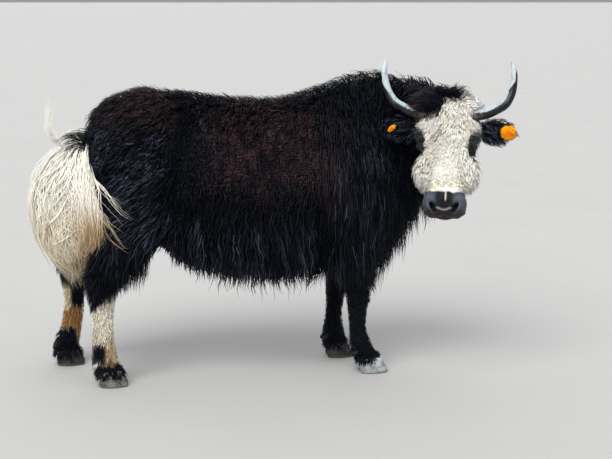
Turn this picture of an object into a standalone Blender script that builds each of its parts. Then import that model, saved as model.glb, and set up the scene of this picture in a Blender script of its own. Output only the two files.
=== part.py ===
"""A life-size yak that stands square and looks to its right, as a still model.

+X is forwards, +Y is the yak's left and +Z is up. Sizes are in metres. The body is modelled
in its own frame, with x = 0 midway between the feet, and is centred on its base at the end.
"""

import math
import random

import bmesh
import bpy
from mathutils import Matrix, Vector
from mathutils.bvhtree import BVHTree

# Gaps and mesh densities
GAP = 0.0004            # clear space between two nodes that touch
PART_GAP = 0.0006       # clear space where one form is parted in two
HAIR_GAP = 0.0010       # clear height of a lock over the flesh, past its own thickness
ROOT_DEPTH = 0.017      # how deep a lock's root is sunk
VOXEL = 0.011           # grid on which the flesh forms melt together
SMOOTH_PASSES = 6
BODY_DETAIL = 0.025     # share of the melted faces that the body keeps
HEAD_DETAIL = 0.10      # share that the head keeps
EPSILON = 1e-6

# Torso: each ring is x, underside, top line, half width, and how much it narrows upwards
TORSO_RINGS = (
    (-0.565, 0.880, 1.015, 0.070, 0.0),
    (-0.530, 0.760, 1.100, 0.150, 0.1),
    (-0.445, 0.660, 1.178, 0.215, 0.1),
    (-0.330, 0.600, 1.210, 0.243, 0.1),
    (-0.180, 0.555, 1.186, 0.255, 0.1),
    (0.000, 0.525, 1.164, 0.278, 0.1),
    (0.150, 0.512, 1.150, 0.284, 0.12),
    (0.280, 0.512, 1.155, 0.275, 0.18),
    (0.400, 0.525, 1.192, 0.255, 0.30),
    (0.520, 0.548, 1.240, 0.235, 0.42),
    (0.640, 0.570, 1.272, 0.208, 0.46),
    (0.740, 0.610, 1.256, 0.172, 0.42),
    (0.820, 0.680, 1.170, 0.125, 0.30),
    (0.858, 0.760, 1.050, 0.080, 0.0),
)
TORSO_SIDES = 28

# Neck: each ring is its centre, half width and half depth; it bends to the right
NECK_RINGS = (
    ((0.600, 0.000, 0.960), 0.150, 0.240),
    ((0.745, -0.010, 0.990), 0.160, 0.258),
    ((0.848, -0.050, 1.022), 0.138, 0.226),
    ((0.912, -0.120, 1.048), 0.122, 0.186),
    ((0.940, -0.195, 1.062), 0.112, 0.142),
    ((0.946, -0.270, 1.075), 0.100, 0.120),
)
NECK_SIDES = 22

# Head: a frame at the poll, with the face axis towards the nose
POLL = Vector((0.912, -0.320, 1.192))
HEAD_HEADING = math.radians(-108.0)
FACE_SLOPE = math.radians(62.0)
HEAD_ROLL = math.radians(-0.5)
# Each ring is the place along the face, half width, front, back, and how much it narrows forwards
HEAD_RINGS = (
    (-0.032, 0.070, -0.040, -0.120, 0.0),
    (0.000, 0.108, -0.006, -0.165, -0.10),
    (0.060, 0.120, 0.010, -0.205, -0.18),
    (0.130, 0.116, 0.012, -0.222, -0.25),
    (0.200, 0.100, 0.007, -0.214, -0.22),
    (0.275, 0.084, 0.001, -0.186, -0.12),
    (0.338, 0.078, -0.003, -0.164, -0.05),
    (0.393, 0.080, -0.006, -0.150, 0.0),
    (0.434, 0.086, -0.010, -0.144, 0.05),
    (0.466, 0.084, -0.022, -0.132, 0.05),
    (0.486, 0.060, -0.046, -0.108, 0.0),
)
HEAD_SIDES = 24

EYE_ALONG = 0.165
EYE_SIDE = 0.1125
EYE_DEPTH = -0.050
EYE_RADIUS = 0.0195
ORBIT_RADIUS = 0.040
LID_WIRE = 0.0042
LID_HALF_LENGTH = 0.0205
LID_HALF_HEIGHT = 0.0165
LID_STEPS = 12
NOSTRIL_ALONG = 0.456
NOSTRIL_SIDE = 0.054
NOSTRIL_DEPTH = -0.036
MOUTH_ALONG = (0.338, 0.378, 0.420, 0.458, 0.498)
MOUTH_DEPTH = (-0.118, -0.110, -0.104, -0.100, -0.097)
MOUTH_WIRE = 0.0042
# Wool of the cheeks: its middle on each side, in the head frame, and its radii
CHEEK_WOOL = (0.086, 0.285, -0.095)
CHEEK_WOOL_RADII = (0.048, 0.075, 0.055)

# Horns, in the head frame: side, along the face, in front, and the half thickness there
HORN_STATIONS = (
    (0.085, 0.052, -0.046, 0.0255),
    (0.145, 0.045, -0.052, 0.0225),
    (0.189, 0.023, -0.060, 0.0208),
    (0.228, -0.005, -0.066, 0.0198),
    (0.253, -0.046, -0.062, 0.0178),
    (0.264, -0.085, -0.048, 0.0152),
    (0.267, -0.126, -0.026, 0.0118),
    (0.257, -0.163, -0.006, 0.0036),
)
HORN_SIDES = 9
HORN_LEAN = 0.06        # both horns lean to the yak's right, by this share of the height over their roots
HORN_STRETCH = 0.04     # and reach this share higher than their stations

# Ears, in the head frame
EAR_ROOT = (0.092, 0.092, -0.096)
EAR_TIP = (0.268, 0.122, -0.062)
EAR_HALF_WIDTH = 0.048
EAR_HALF_THICKNESS = 0.019
# Shares of the ear's length, and of its half width there
EAR_OUTLINE = (
    (0.0, 0.45), (0.18, 0.62), (0.38, 0.92), (0.58, 1.0), (0.78, 0.82), (0.92, 0.48), (1.0, 0.14),
)
TAG_PLACE = 0.82        # share of the ear's length where the tassel is tied
TAG_RADII = {"left": 0.035, "right": 0.022}
TAG_SHIFTS = {"left": (0.007, 0.012), "right": (0.005, 0.004)}     # from there, to the side and along the face

# Legs: each ring is x, y from the middle, z, half length and half width
NEAR_HIND = (
    (-0.350, 0.110, 0.960, 0.175, 0.110),
    (-0.360, 0.140, 0.830, 0.190, 0.112),
    (-0.375, 0.160, 0.700, 0.165, 0.100),
    (-0.425, 0.172, 0.580, 0.112, 0.078),
    (-0.482, 0.180, 0.480, 0.070, 0.055),
    (-0.508, 0.182, 0.425, 0.058, 0.050),
    (-0.511, 0.182, 0.360, 0.048, 0.043),
    (-0.510, 0.182, 0.260, 0.041, 0.038),
    (-0.508, 0.182, 0.175, 0.043, 0.040),
    (-0.504, 0.182, 0.125, 0.049, 0.048),
    (-0.494, 0.182, 0.085, 0.041, 0.046),
    (-0.484, 0.182, 0.045, 0.050, 0.052),
    (-0.482, 0.182, 0.015, 0.050, 0.052),
)
FAR_HIND = (
    (-0.360, 0.110, 0.960, 0.175, 0.110),
    (-0.385, 0.140, 0.830, 0.185, 0.112),
    (-0.430, 0.160, 0.700, 0.155, 0.100),
    (-0.510, 0.172, 0.580, 0.105, 0.078),
    (-0.598, 0.180, 0.480, 0.068, 0.055),
    (-0.628, 0.182, 0.425, 0.058, 0.050),
    (-0.630, 0.182, 0.360, 0.047, 0.043),
    (-0.635, 0.182, 0.260, 0.040, 0.038),
    (-0.649, 0.182, 0.175, 0.042, 0.040),
    (-0.664, 0.182, 0.125, 0.048, 0.048),
    (-0.668, 0.182, 0.085, 0.043, 0.046),
    (-0.668, 0.182, 0.045, 0.050, 0.052),
    (-0.667, 0.182, 0.015, 0.050, 0.052),
)
NEAR_FORE = (
    (0.560, 0.140, 0.920, 0.135, 0.085),
    (0.555, 0.150, 0.780, 0.130, 0.088),
    (0.552, 0.148, 0.660, 0.108, 0.080),
    (0.558, 0.142, 0.550, 0.080, 0.064),
    (0.566, 0.136, 0.440, 0.060, 0.053),
    (0.573, 0.134, 0.335, 0.053, 0.050),
    (0.572, 0.134, 0.275, 0.041, 0.041),
    (0.573, 0.134, 0.210, 0.036, 0.037),
    (0.577, 0.134, 0.165, 0.039, 0.039),
    (0.589, 0.134, 0.122, 0.047, 0.047),
    (0.608, 0.134, 0.085, 0.043, 0.046),
    (0.627, 0.134, 0.045, 0.050, 0.052),
    (0.630, 0.134, 0.015, 0.050, 0.052),
)
FAR_FORE = (
    (0.545, 0.140, 0.920, 0.135, 0.085),
    (0.535, 0.150, 0.780, 0.130, 0.088),
    (0.530, 0.148, 0.660, 0.108, 0.080),
    (0.532, 0.142, 0.550, 0.078, 0.064),
    (0.532, 0.136, 0.440, 0.058, 0.053),
    (0.530, 0.134, 0.335, 0.053, 0.050),
    (0.521, 0.134, 0.275, 0.041, 0.041),
    (0.515, 0.134, 0.210, 0.036, 0.037),
    (0.513, 0.134, 0.165, 0.039, 0.039),
    (0.516, 0.134, 0.122, 0.047, 0.047),
    (0.522, 0.134, 0.085, 0.044, 0.046),
    (0.529, 0.134, 0.045, 0.050, 0.052),
    (0.530, 0.134, 0.015, 0.050, 0.052),
)
LEG_SIDES = 14

# Coat: where the locks grow, how many there are and how low their tips hang
LOCK_THICKNESS = 0.018
LOCK_SIDES = 3
SKIRT_SPAN = (-0.225, 0.415)
SKIRT_LOWEST = (0.180, 0.385)   # x and z of the lowest tips
SKIRT_ARCH = 1.0                # how fast the tips rise fore and aft, per metre
# Each tier is the angle under the horizon, the count on each side, and the share of the drop it spans
SKIRT_TIERS = ((16.0, 9, 0.66), (46.0, 9, 1.0))
# Leg tiers are the height of the roots, that of the tips, the count and the width of a lock
HIND_TIERS = ((0.690, 0.500, 6, 0.092), (0.585, 0.435, 5, 0.078))
FORE_TIERS = ((0.700, 0.495, 6, 0.090), (0.590, 0.415, 5, 0.078))
BRISKET_PLACES = (0.680, 0.750, 0.815)
BRISKET_ANGLES = (-130.0, -90.0, -50.0)
BRISKET_TIPS = (0.360, 0.560)   # height of the tips at the first and the last place
BEARD_RUN = (Vector((0.775, -0.015, 0.950)), Vector((0.930, -0.150, 1.045)))
BEARD_TIPS = (0.470, 0.790)     # height of the tips at the chest and at the throat
BEARD_ROWS = 4
BEARD_ANGLES = (-140.0, -92.0, -44.0)
FORELOCK_COUNT = 8
# Tail tiers are the height of the roots, that of the tips, the count and how far they swing out
TAIL_TIERS = ((0.940, 0.600, 7, 0.055), (0.840, 0.480, 7, 0.040), (0.690, 0.385, 6, 0.015))

# Feet
CORONET_HEIGHT = 0.052
CORONET_RISE = 0.22     # how much the hair edge climbs towards the toe
CLAW_HALF_LENGTH = 0.058
CLAW_HALF_WIDTH = 0.0265
CLAW_SPLIT = 0.0020     # half the cleft between the two claws
TOE_REACH = 0.012       # how far the sole runs forward of the coronet
DEWCLAW_HEIGHT = 0.105
DEWCLAW_SPREAD = 0.022

# Where the body is parted, as outlines seen from the side (x, z) and the front (y, z)
HOCK_CUT = 0.470
KNEE_CUT = 0.385
HIND_SIDE_CUT = (
    (-0.86, HOCK_CUT), (-0.30, HOCK_CUT), (-0.205, 0.66), (-0.26, 0.86), (-0.46, 0.95), (-0.86, 0.95),
)
HIND_FRONT_CUT = ((0.035, HOCK_CUT), (0.60, HOCK_CUT), (0.60, 0.98), (0.20, 0.98), (0.035, 0.64))
FORE_SIDE_CUT = ((0.36, KNEE_CUT), (0.82, KNEE_CUT), (0.80, 0.62), (0.70, 0.80), (0.52, 0.86), (0.40, 0.70))
FORE_FRONT_CUT = ((0.035, KNEE_CUT), (0.60, KNEE_CUT), (0.60, 0.98), (0.235, 0.98), (0.035, 0.60))
NECK_CUT_POINT = Vector((0.770, 0.0, 0.950))
NECK_CUT_NORMAL = Vector((0.970, -0.10, 0.22)).normalized()
HEAD_CUT_POINT = Vector((0.941, -0.228, 1.068))
HEAD_CUT_NORMAL = Vector((0.10, -0.98, 0.17)).normalized()

# Tail: the dock inside the hair, as centre, half length and half width
TAIL_STATIONS = (
    ((-0.520, 0.000, 0.990), 0.038, 0.040),
    ((-0.590, 0.000, 0.992), 0.048, 0.046),
    ((-0.645, 0.000, 0.930), 0.058, 0.054),
    ((-0.664, 0.000, 0.830), 0.066, 0.060),
    ((-0.664, 0.000, 0.720), 0.066, 0.060),
    ((-0.652, 0.000, 0.600), 0.052, 0.048),
    ((-0.632, 0.000, 0.500), 0.024, 0.022),
)
TAIL_WISP = (
    ((-0.645, 0.000, 0.950), 0.024, 0.014),
    ((-0.688, 0.000, 1.000), 0.026, 0.012),
    ((-0.712, 0.000, 1.066), 0.018, 0.008),
    ((-0.698, 0.000, 1.140), 0.003, 0.002),
)
TAIL_SIDES = 14

# Coat colours, as linear values
BLACK_COAT = (0.010, 0.010, 0.013)
WHITE_COAT = (0.62, 0.56, 0.44)
TAIL_COAT = (0.66, 0.60, 0.45)
TAN_COAT = (0.52, 0.40, 0.25)
HORN_GREY = (0.20, 0.23, 0.25)
HOOF_GREY = (0.16, 0.18, 0.19)
EYE_BROWN = (0.010, 0.006, 0.004)
TASSEL_ORANGE = (0.90, 0.30, 0.01)

SIDES = {"left": 1, "right": -1}
LEGS = {
    "hind_left": (FAR_HIND, 1),
    "hind_right": (NEAR_HIND, -1),
    "fore_left": (FAR_FORE, 1),
    "fore_right": (NEAR_FORE, -1),
}

draw = random.Random(7)


def clear_scene():
    for obj in list(bpy.data.objects):
        bpy.data.objects.remove(obj)


def material(name, colour, roughness=0.7, metallic=0.0):
    """One Principled finish, made once and shared."""
    made = bpy.data.materials.get(name)
    if made:
        return made
    made = bpy.data.materials.new(name)
    made.use_nodes = True
    shader = made.node_tree.nodes["Principled BSDF"]
    shader.inputs["Base Color"].default_value = (*colour, 1.0)
    shader.inputs["Roughness"].default_value = roughness
    shader.inputs["Metallic"].default_value = metallic
    made.diffuse_color = (*colour, 1.0)
    return made


def object_from(name, bm):
    """A mesh object from a bmesh, with its faces turned outwards."""
    bmesh.ops.recalc_face_normals(bm, faces=bm.faces)
    mesh = bpy.data.meshes.new(name)
    bm.to_mesh(mesh)
    bm.free()
    obj = bpy.data.objects.new(name, mesh)
    bpy.context.scene.collection.objects.link(obj)
    return obj


def copy_of(obj, name):
    made = bpy.data.objects.new(name, obj.data.copy())
    bpy.context.scene.collection.objects.link(made)
    return made


def remove(*objects):
    for obj in objects:
        bpy.data.objects.remove(obj)


def apply_modifiers(obj):
    graph = bpy.context.evaluated_depsgraph_get()
    baked = bpy.data.meshes.new_from_object(obj.evaluated_get(graph))
    obj.modifiers.clear()
    obj.data = baked


def keep_largest(obj):
    """Drops all but the largest closed surface, with the scraps that a cut leaves."""
    bm = bmesh.new()
    bm.from_mesh(obj.data)
    bmesh.ops.dissolve_degenerate(bm, dist=EPSILON, edges=bm.edges)
    unseen = set(bm.verts)
    islands = []
    while unseen:
        front = [unseen.pop()]
        island = set(front)
        while front:
            for edge in front.pop().link_edges:
                for vert in edge.verts:
                    if vert in unseen:
                        unseen.remove(vert)
                        island.add(vert)
                        front.append(vert)
        islands.append(island)
    islands.sort(key=box_volume)
    for island in islands[:-1]:
        bmesh.ops.delete(bm, geom=list(island), context="VERTS")
    bmesh.ops.triangulate(bm, faces=bm.faces)
    bm.to_mesh(obj.data)
    bm.free()


def box_volume(verts):
    spans = [max(v.co[i] for v in verts) - min(v.co[i] for v in verts) for i in range(3)]
    return spans[0] * spans[1] * spans[2]


def ring_edges(bm, centre, across, up, sides, narrow=0.0):
    """One ring of a loft: a circle stretched over two half axes, narrower towards 'up'."""
    frame = Matrix((across, up, across.cross(up))).transposed()
    made = bmesh.ops.create_circle(bm, segments=sides, radius=1.0)
    for vert in made["verts"]:
        x, y, _ = vert.co
        vert.co = centre + frame @ Vector((x * (1.0 - narrow * y), y, 0.0))
    return list({edge for vert in made["verts"] for edge in vert.link_edges})


def loft(name, rings, sides):
    """A closed form through rings of (centre, across, up, narrow)."""
    bm = bmesh.new()
    loops = [ring_edges(bm, *ring[:3], sides, ring[3]) for ring in rings]
    for first, second in zip(loops, loops[1:]):
        bmesh.ops.bridge_loops(bm, edges=first + second)
    for end in (loops[0], loops[-1]):
        bmesh.ops.contextual_create(bm, geom=end)
    return object_from(name, bm)


def sweep(name, stations, outward, sides):
    """A closed form along a path of (point, half width, half thickness); outward is the thin way."""
    points = [Vector(station[0]) for station in stations]
    rings = []
    before = None
    for i, (_, wide, thick) in enumerate(stations):
        along = points[min(i + 1, len(points) - 1)] - points[max(i - 1, 0)]
        side = along.cross(outward[i] if isinstance(outward, list) else outward).normalized()
        if before and side.dot(before) < 0:
            side.negate()
        before = side
        out = side.cross(along).normalized()
        rings.append((points[i], side * wide, out * thick, 0.0))
    return loft(name, rings, sides)


def ball(name, centre, radii, frame=None, segments=12, rings=8):
    """An ellipsoid with its half axes along a frame's axes."""
    bm = bmesh.new()
    bmesh.ops.create_uvsphere(bm, u_segments=segments, v_segments=rings, radius=1.0)
    turn = (frame or Matrix.Identity(3)).to_4x4()
    shape = Matrix.Translation(centre) @ turn @ Matrix.Diagonal((*radii, 1.0))
    bmesh.ops.transform(bm, matrix=shape, verts=bm.verts)
    return object_from(name, bm)


def grown(outline, grow):
    """A convex outline, listed anticlockwise, moved outwards by grow."""
    points = [Vector(p) for p in outline]
    area = sum(a.x * b.y - b.x * a.y for a, b in zip(points, points[1:] + points[:1]))
    if area < 0:
        points.reverse()
    moved = []
    for i, point in enumerate(points):
        before = (point - points[i - 1]).normalized()
        after = (points[(i + 1) % len(points)] - point).normalized()
        n1 = Vector((before.y, -before.x))
        n2 = Vector((after.y, -after.x))
        moved.append(point + (n1 + n2) * grow / (1.0 + n1.dot(n2)))
    return moved


def prism(name, outline, place, low, high, grow=0.0):
    """An outline swept from low to high; place turns (u, v, depth) into a point."""
    bm = bmesh.new()
    rim = [bm.verts.new(place(p.x, p.y, low - grow)) for p in grown(outline, grow)]
    face = bm.faces.new(rim)
    pushed = bmesh.ops.extrude_face_region(bm, geom=[face])
    travel = place(0.0, 0.0, high + grow) - place(0.0, 0.0, low - grow)
    moved = [item for item in pushed["geom"] if isinstance(item, bmesh.types.BMVert)]
    bmesh.ops.translate(bm, vec=travel, verts=moved)
    return object_from(name, bm)


def seen_from_side(u, v, depth):
    return Vector((u, depth, v))


def seen_from_front(u, v, depth):
    return Vector((depth, u, v))


def half_space(name, point, normal, size, lift=0.0):
    """A block that lies on the far side of a plane."""
    bm = bmesh.new()
    bmesh.ops.create_cube(bm, size=1.0)
    turn = normal.to_track_quat("Z", "Y").to_matrix().to_4x4()
    centre = point + normal * (lift + size[2] / 2.0)
    shape = Matrix.Translation(centre) @ turn @ Matrix.Diagonal((*size, 1.0))
    bmesh.ops.transform(bm, matrix=shape, verts=bm.verts)
    return object_from(name, bm)


def is_closed(obj):
    """Whether each edge joins just two faces, also once points that touch are one."""
    bm = bmesh.new()
    bm.from_mesh(obj.data)
    bmesh.ops.remove_doubles(bm, verts=bm.verts, dist=EPSILON)
    closed = all(len(edge.link_faces) == 2 for edge in bm.edges)
    bm.free()
    return closed


def combine(target, operation, other=None, group=None):
    """A Boolean with an object or a collection: exact, or by manifolds where that leaves a fault."""
    before = target.data
    for solver in ("EXACT", "MANIFOLD"):
        target.data = before
        cut = target.modifiers.new(operation.lower(), "BOOLEAN")
        cut.operation = operation
        cut.solver = solver
        cut.operand_type = "COLLECTION" if group else "OBJECT"
        cut.collection = group
        cut.object = other
        apply_modifiers(target)
        keep_largest(target)
        if is_closed(target):
            break
    return target


def boolean(target, operation, *others):
    """Applies a Boolean of each other object to the target, and removes those objects."""
    for other in others:
        combine(target, operation, other=other)
    remove(*others)
    return target


def fuse(target, pieces):
    """Joins many closed pieces to the target with one union on their collection."""
    group = bpy.data.collections.new(target.name + "_pieces")
    for piece in pieces:
        group.objects.link(piece)
    combine(target, "UNION", group=group)
    remove(*pieces)
    bpy.data.collections.remove(group)
    return target


def swollen(obj, by=GAP):
    """A copy whose surface stands out by a small distance, for cutting a neighbour clear."""
    made = copy_of(obj, obj.name + "_swollen")
    push = made.modifiers.new("push", "DISPLACE")
    push.strength = by
    push.mid_level = 0.0
    apply_modifiers(made)
    return made


def carve(target, *neighbours, by=GAP):
    """Cuts the target clear of its neighbours."""
    for neighbour in neighbours:
        combine(target, "DIFFERENCE", other=neighbour)
        boolean(target, "DIFFERENCE", swollen(neighbour, by))
    return target


# The head's own frame

def head_axes():
    ahead = Vector((math.cos(HEAD_HEADING), math.sin(HEAD_HEADING), 0.0))
    left = Vector((-ahead.y, ahead.x, 0.0))
    along = ahead * math.cos(FACE_SLOPE) - Vector((0, 0, math.sin(FACE_SLOPE)))
    front = ahead * math.sin(FACE_SLOPE) + Vector((0, 0, math.cos(FACE_SLOPE)))
    roll = Matrix.Rotation(HEAD_ROLL, 3, ahead)
    return roll @ left, roll @ along, roll @ front


SIDEWAYS, ALONG, FRONT = head_axes()
HEAD_FRAME = Matrix((SIDEWAYS, ALONG, FRONT)).transposed()


def head_point(side, along, front):
    return POLL + HEAD_FRAME @ Vector((side, along, front))


# Flesh

def torso_form():
    rings = []
    for x, low, high, half_width, narrow in TORSO_RINGS:
        centre = Vector((x, 0.0, (low + high) / 2.0))
        up = Vector((0.0, 0.0, (high - low) / 2.0))
        rings.append((centre, Vector((0.0, half_width, 0.0)), up, narrow))
    return loft("torso_form", rings, TORSO_SIDES)


def neck_form():
    up = Vector((0.0, 0.0, 1.0))
    return sweep("neck_form", NECK_RINGS, up, NECK_SIDES)


def head_form():
    rings = []
    for along, half_width, front, back, narrow in HEAD_RINGS:
        centre = head_point(0.0, along, (front + back) / 2.0)
        rings.append((centre, SIDEWAYS * half_width, FRONT * (front - back) / 2.0, narrow))
    return loft("head_form", rings, HEAD_SIDES)


def head_bulges():
    """Orbits, cheeks and their wool, the broad nose pad, the lower lip and the chin."""
    made = []
    for name, sign in SIDES.items():
        orbit = head_point(sign * (EYE_SIDE - 0.022), EYE_ALONG - 0.004, EYE_DEPTH)
        made.append(ball("orbit_" + name, orbit, (ORBIT_RADIUS, 0.046, 0.042), HEAD_FRAME))
        cheek = head_point(sign * 0.058, 0.180, -0.135)
        made.append(ball("cheek_" + name, cheek, (0.048, 0.110, 0.075), HEAD_FRAME))
        wool = head_point(sign * CHEEK_WOOL[0], *CHEEK_WOOL[1:])
        made.append(ball("wool_" + name, wool, CHEEK_WOOL_RADII, HEAD_FRAME))
        lip = head_point(sign * 0.043, 0.432, -0.070)
        made.append(ball("lip_" + name, lip, (0.047, 0.050, 0.052), HEAD_FRAME))
    made.append(ball("chin", head_point(0.0, 0.440, -0.122), (0.054, 0.044, 0.030), HEAD_FRAME))
    return made


def leg_form(name, rings, sign):
    made = []
    for x, y, z, half_length, half_width in rings:
        centre = Vector((x, sign * y, z))
        made.append((centre, Vector((half_length, 0, 0)), Vector((0, half_width, 0)), 0.0))
    return loft(name + "_form", made, LEG_SIDES)


def leg_bulges(name, rings, sign):
    """The point of the hock, or of the elbow and the flat of the knee."""
    if name.startswith("hind"):
        x, y, z = rings[5][:3]
        heel = Vector((x - 0.038, sign * y, z + 0.030))
        return [ball(name + "_hock", heel, (0.030, 0.026, 0.050))]
    x, y, z = rings[5][:3]
    elbow_x, elbow_y, elbow_z = rings[2][:3]
    knee = ball(name + "_knee", Vector((x + 0.008, sign * y, z)), (0.050, 0.050, 0.052))
    elbow = Vector((elbow_x - 0.070, sign * elbow_y, elbow_z - 0.010))
    return [knee, ball(name + "_elbow", elbow, (0.060, 0.050, 0.070))]


def flesh_form():
    """All the flesh, melted into one smooth closed surface."""
    pieces = [torso_form(), neck_form(), head_form(), *head_bulges()]
    for name, (rings, sign) in LEGS.items():
        pieces.append(leg_form(name, rings, sign))
        pieces.extend(leg_bulges(name, rings, sign))
    bm = bmesh.new()
    for piece in pieces:
        bm.from_mesh(piece.data)
    remove(*pieces)
    whole = object_from("flesh", bm)
    melt = whole.modifiers.new("melt", "REMESH")
    melt.mode = "VOXEL"
    melt.voxel_size = VOXEL
    soften = whole.modifiers.new("soften", "SMOOTH")
    soften.factor = 0.5
    soften.iterations = SMOOTH_PASSES
    apply_modifiers(whole)
    return whole


def thinned(flesh, name, share):
    made = copy_of(flesh, name)
    fewer = made.modifiers.new("fewer", "DECIMATE")
    fewer.ratio = share
    fewer.use_collapse_triangulate = True
    apply_modifiers(made)
    return made


# Parting the flesh into nodes

def limb_block(name, side_cut, front_cut, sign, grow):
    """The space of an upper leg: its outline from the side crossed with that from the front."""
    front = [(sign * y, z) for y, z in front_cut]
    block = prism(name + "_side", side_cut, seen_from_side, -0.6, 0.6, grow)
    other = prism(name + "_front", front, seen_from_front, -1.0, 1.0, grow)
    return boolean(block, "INTERSECT", other)


def coronet_outline(x, low, high):
    """Between the hair edge over the hoof, or a level below it, and a level above."""
    reach = 0.14
    if low is None:
        rise = CORONET_RISE * reach
        return (
            (x - reach, CORONET_HEIGHT - rise),
            (x + reach, CORONET_HEIGHT + rise),
            (x + reach, high),
            (x - reach, high),
        )
    return ((x - reach, low), (x + reach, low), (x + reach, high), (x - reach, high))


def shank_block(name, rings, sign, top, grow):
    """The space of a lower leg, from its hair edge up to the knee or hock cut."""
    x = rings[-1][0]
    depth = sorted((sign * 0.03, sign * 0.50))
    return prism(name + "_shank", coronet_outline(x, None, top), seen_from_side, *depth, grow)


def cut_of(name):
    if name.startswith("hind"):
        return HIND_SIDE_CUT, HIND_FRONT_CUT, HOCK_CUT
    return FORE_SIDE_CUT, FORE_FRONT_CUT, KNEE_CUT


def part_flesh(flesh):
    """The flesh nodes, each as its own object, with the gap between them."""
    body = thinned(flesh, "body", BODY_DETAIL)
    fine = thinned(flesh, "fine", HEAD_DETAIL)
    nodes = {}
    block_size = (0.62, 0.80, 0.60)
    head_block = half_space("head_block", HEAD_CUT_POINT, HEAD_CUT_NORMAL, block_size)
    nodes["head"] = boolean(copy_of(fine, "head"), "INTERSECT", head_block)
    block_size = (1.2, 1.2, 0.9)
    neck_block = half_space("neck_block", NECK_CUT_POINT, NECK_CUT_NORMAL, block_size)
    neck = boolean(copy_of(body, "neck"), "INTERSECT", neck_block)
    block_size = (0.62, 0.80, 0.60)
    beyond = half_space("beyond", HEAD_CUT_POINT, HEAD_CUT_NORMAL, block_size, -PART_GAP)
    nodes["neck"] = boolean(neck, "DIFFERENCE", beyond)
    torso = copy_of(body, "torso")
    block_size = (1.2, 1.2, 0.9)
    ahead = half_space("ahead", NECK_CUT_POINT, NECK_CUT_NORMAL, block_size, -PART_GAP)
    boolean(torso, "DIFFERENCE", ahead)
    for name, (rings, sign) in LEGS.items():
        side_cut, front_cut, joint = cut_of(name)
        upper = copy_of(body, name + "_upper")
        block = limb_block(name, side_cut, front_cut, sign, 0.0)
        nodes[upper.name] = boolean(upper, "INTERSECT", block)
        boolean(torso, "DIFFERENCE", limb_block(name, side_cut, front_cut, sign, PART_GAP))
        lower = copy_of(body, name + "_lower")
        block = shank_block(name, rings, sign, joint - PART_GAP, 0.0)
        nodes[lower.name] = boolean(lower, "INTERSECT", block)
        below = prism(
            "below", coronet_outline(rings[-1][0], -0.1, joint), seen_from_side,
            *sorted((sign * 0.03, sign * 0.60)), PART_GAP,
        )
        boolean(torso, "DIFFERENCE", below)
    nodes["torso"] = torso
    remove(body, fine)
    return nodes


# Head details

def add_face(head):
    """Lids, nostrils and the line of the mouth, worked into the head node."""
    surface = BVHTree.FromObject(head, bpy.context.evaluated_depsgraph_get())
    for sign in SIDES.values():
        hole = head_point(sign * NOSTRIL_SIDE, NOSTRIL_ALONG, NOSTRIL_DEPTH)
        slant = HEAD_FRAME @ Matrix.Rotation(sign * math.radians(-32.0), 3, "Z")
        nostril = ball("nostril", hole, (0.0085, 0.019, 0.024), slant, 8, 5)
        boolean(head, "DIFFERENCE", nostril)
    line = []
    for sign in (-1, 1):
        for along, front in zip(MOUTH_ALONG, MOUTH_DEPTH):
            start = head_point(sign * 0.2, along, front)
            hit = surface.ray_cast(start, SIDEWAYS * -sign)[0]
            if hit and (hit - head_point(0.0, along, front)).length > 0.03:
                line.append((sign, along, hit))
    tip = surface.ray_cast(head_point(0.0, 0.60, MOUTH_DEPTH[-1]), -ALONG)[0]
    right = [hit for sign, _, hit in line if sign < 0]
    left = [hit for sign, _, hit in reversed(line) if sign > 0]
    path = right + [tip] + left
    stations = [(point, MOUTH_WIRE * 1.6, MOUTH_WIRE) for point in path]
    centre = head_point(0.0, 0.40, -0.10)
    outward = [point - centre for point in path]
    turned = [out.cross(ALONG) if out.cross(ALONG).length > EPSILON else SIDEWAYS for out in outward]
    return boolean(head, "DIFFERENCE", sweep("mouth", stations, turned, 4))


def eyelids():
    """Two lids round each eye, as a thick almond ring that the head node takes in."""
    made = []
    for name, sign in SIDES.items():
        centre = head_point(sign * (EYE_SIDE + 0.0075), EYE_ALONG, EYE_DEPTH)
        bm = bmesh.new()
        loops = []
        look = (SIDEWAYS * sign + FRONT * 0.30).normalized()
        across = (ALONG - look * ALONG.dot(look)).normalized()
        rise = look.cross(across).normalized()
        for i in range(LID_STEPS):
            turn = 2.0 * math.pi * i / LID_STEPS
            reach = LID_HALF_LENGTH * (1.0 + 0.16 * abs(math.cos(turn)) ** 3)
            spoke = across * math.cos(turn) * reach + rise * math.sin(turn) * LID_HALF_HEIGHT
            out = spoke.normalized()
            back = look * -0.0055 * abs(math.cos(turn))
            loops.append(ring_edges(bm, centre + spoke + back, out * LID_WIRE * 1.3, look * LID_WIRE, 5))
        for first, second in zip(loops, loops[1:] + loops[:1]):
            bmesh.ops.bridge_loops(bm, edges=first + second)
        made.append(object_from("lid_" + name, bm))
    return made


def eyes():
    made = {}
    for name, sign in SIDES.items():
        centre = head_point(sign * EYE_SIDE, EYE_ALONG, EYE_DEPTH)
        made["eye_" + name] = ball("eye_" + name, centre, (EYE_RADIUS,) * 3, None, 12, 7)
    return made


def horns():
    made = {}
    for name, sign in SIDES.items():
        stations = []
        for side, along, front, half in HORN_STATIONS:
            above = min(along - HORN_STATIONS[0][1], 0.0)
            place = head_point(sign * side + HORN_LEAN * above, along + HORN_STRETCH * above, front)
            stations.append((place, half, half * 0.92))
        made["horn_" + name] = sweep("horn_" + name, stations, FRONT, HORN_SIDES)
    return made


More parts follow.
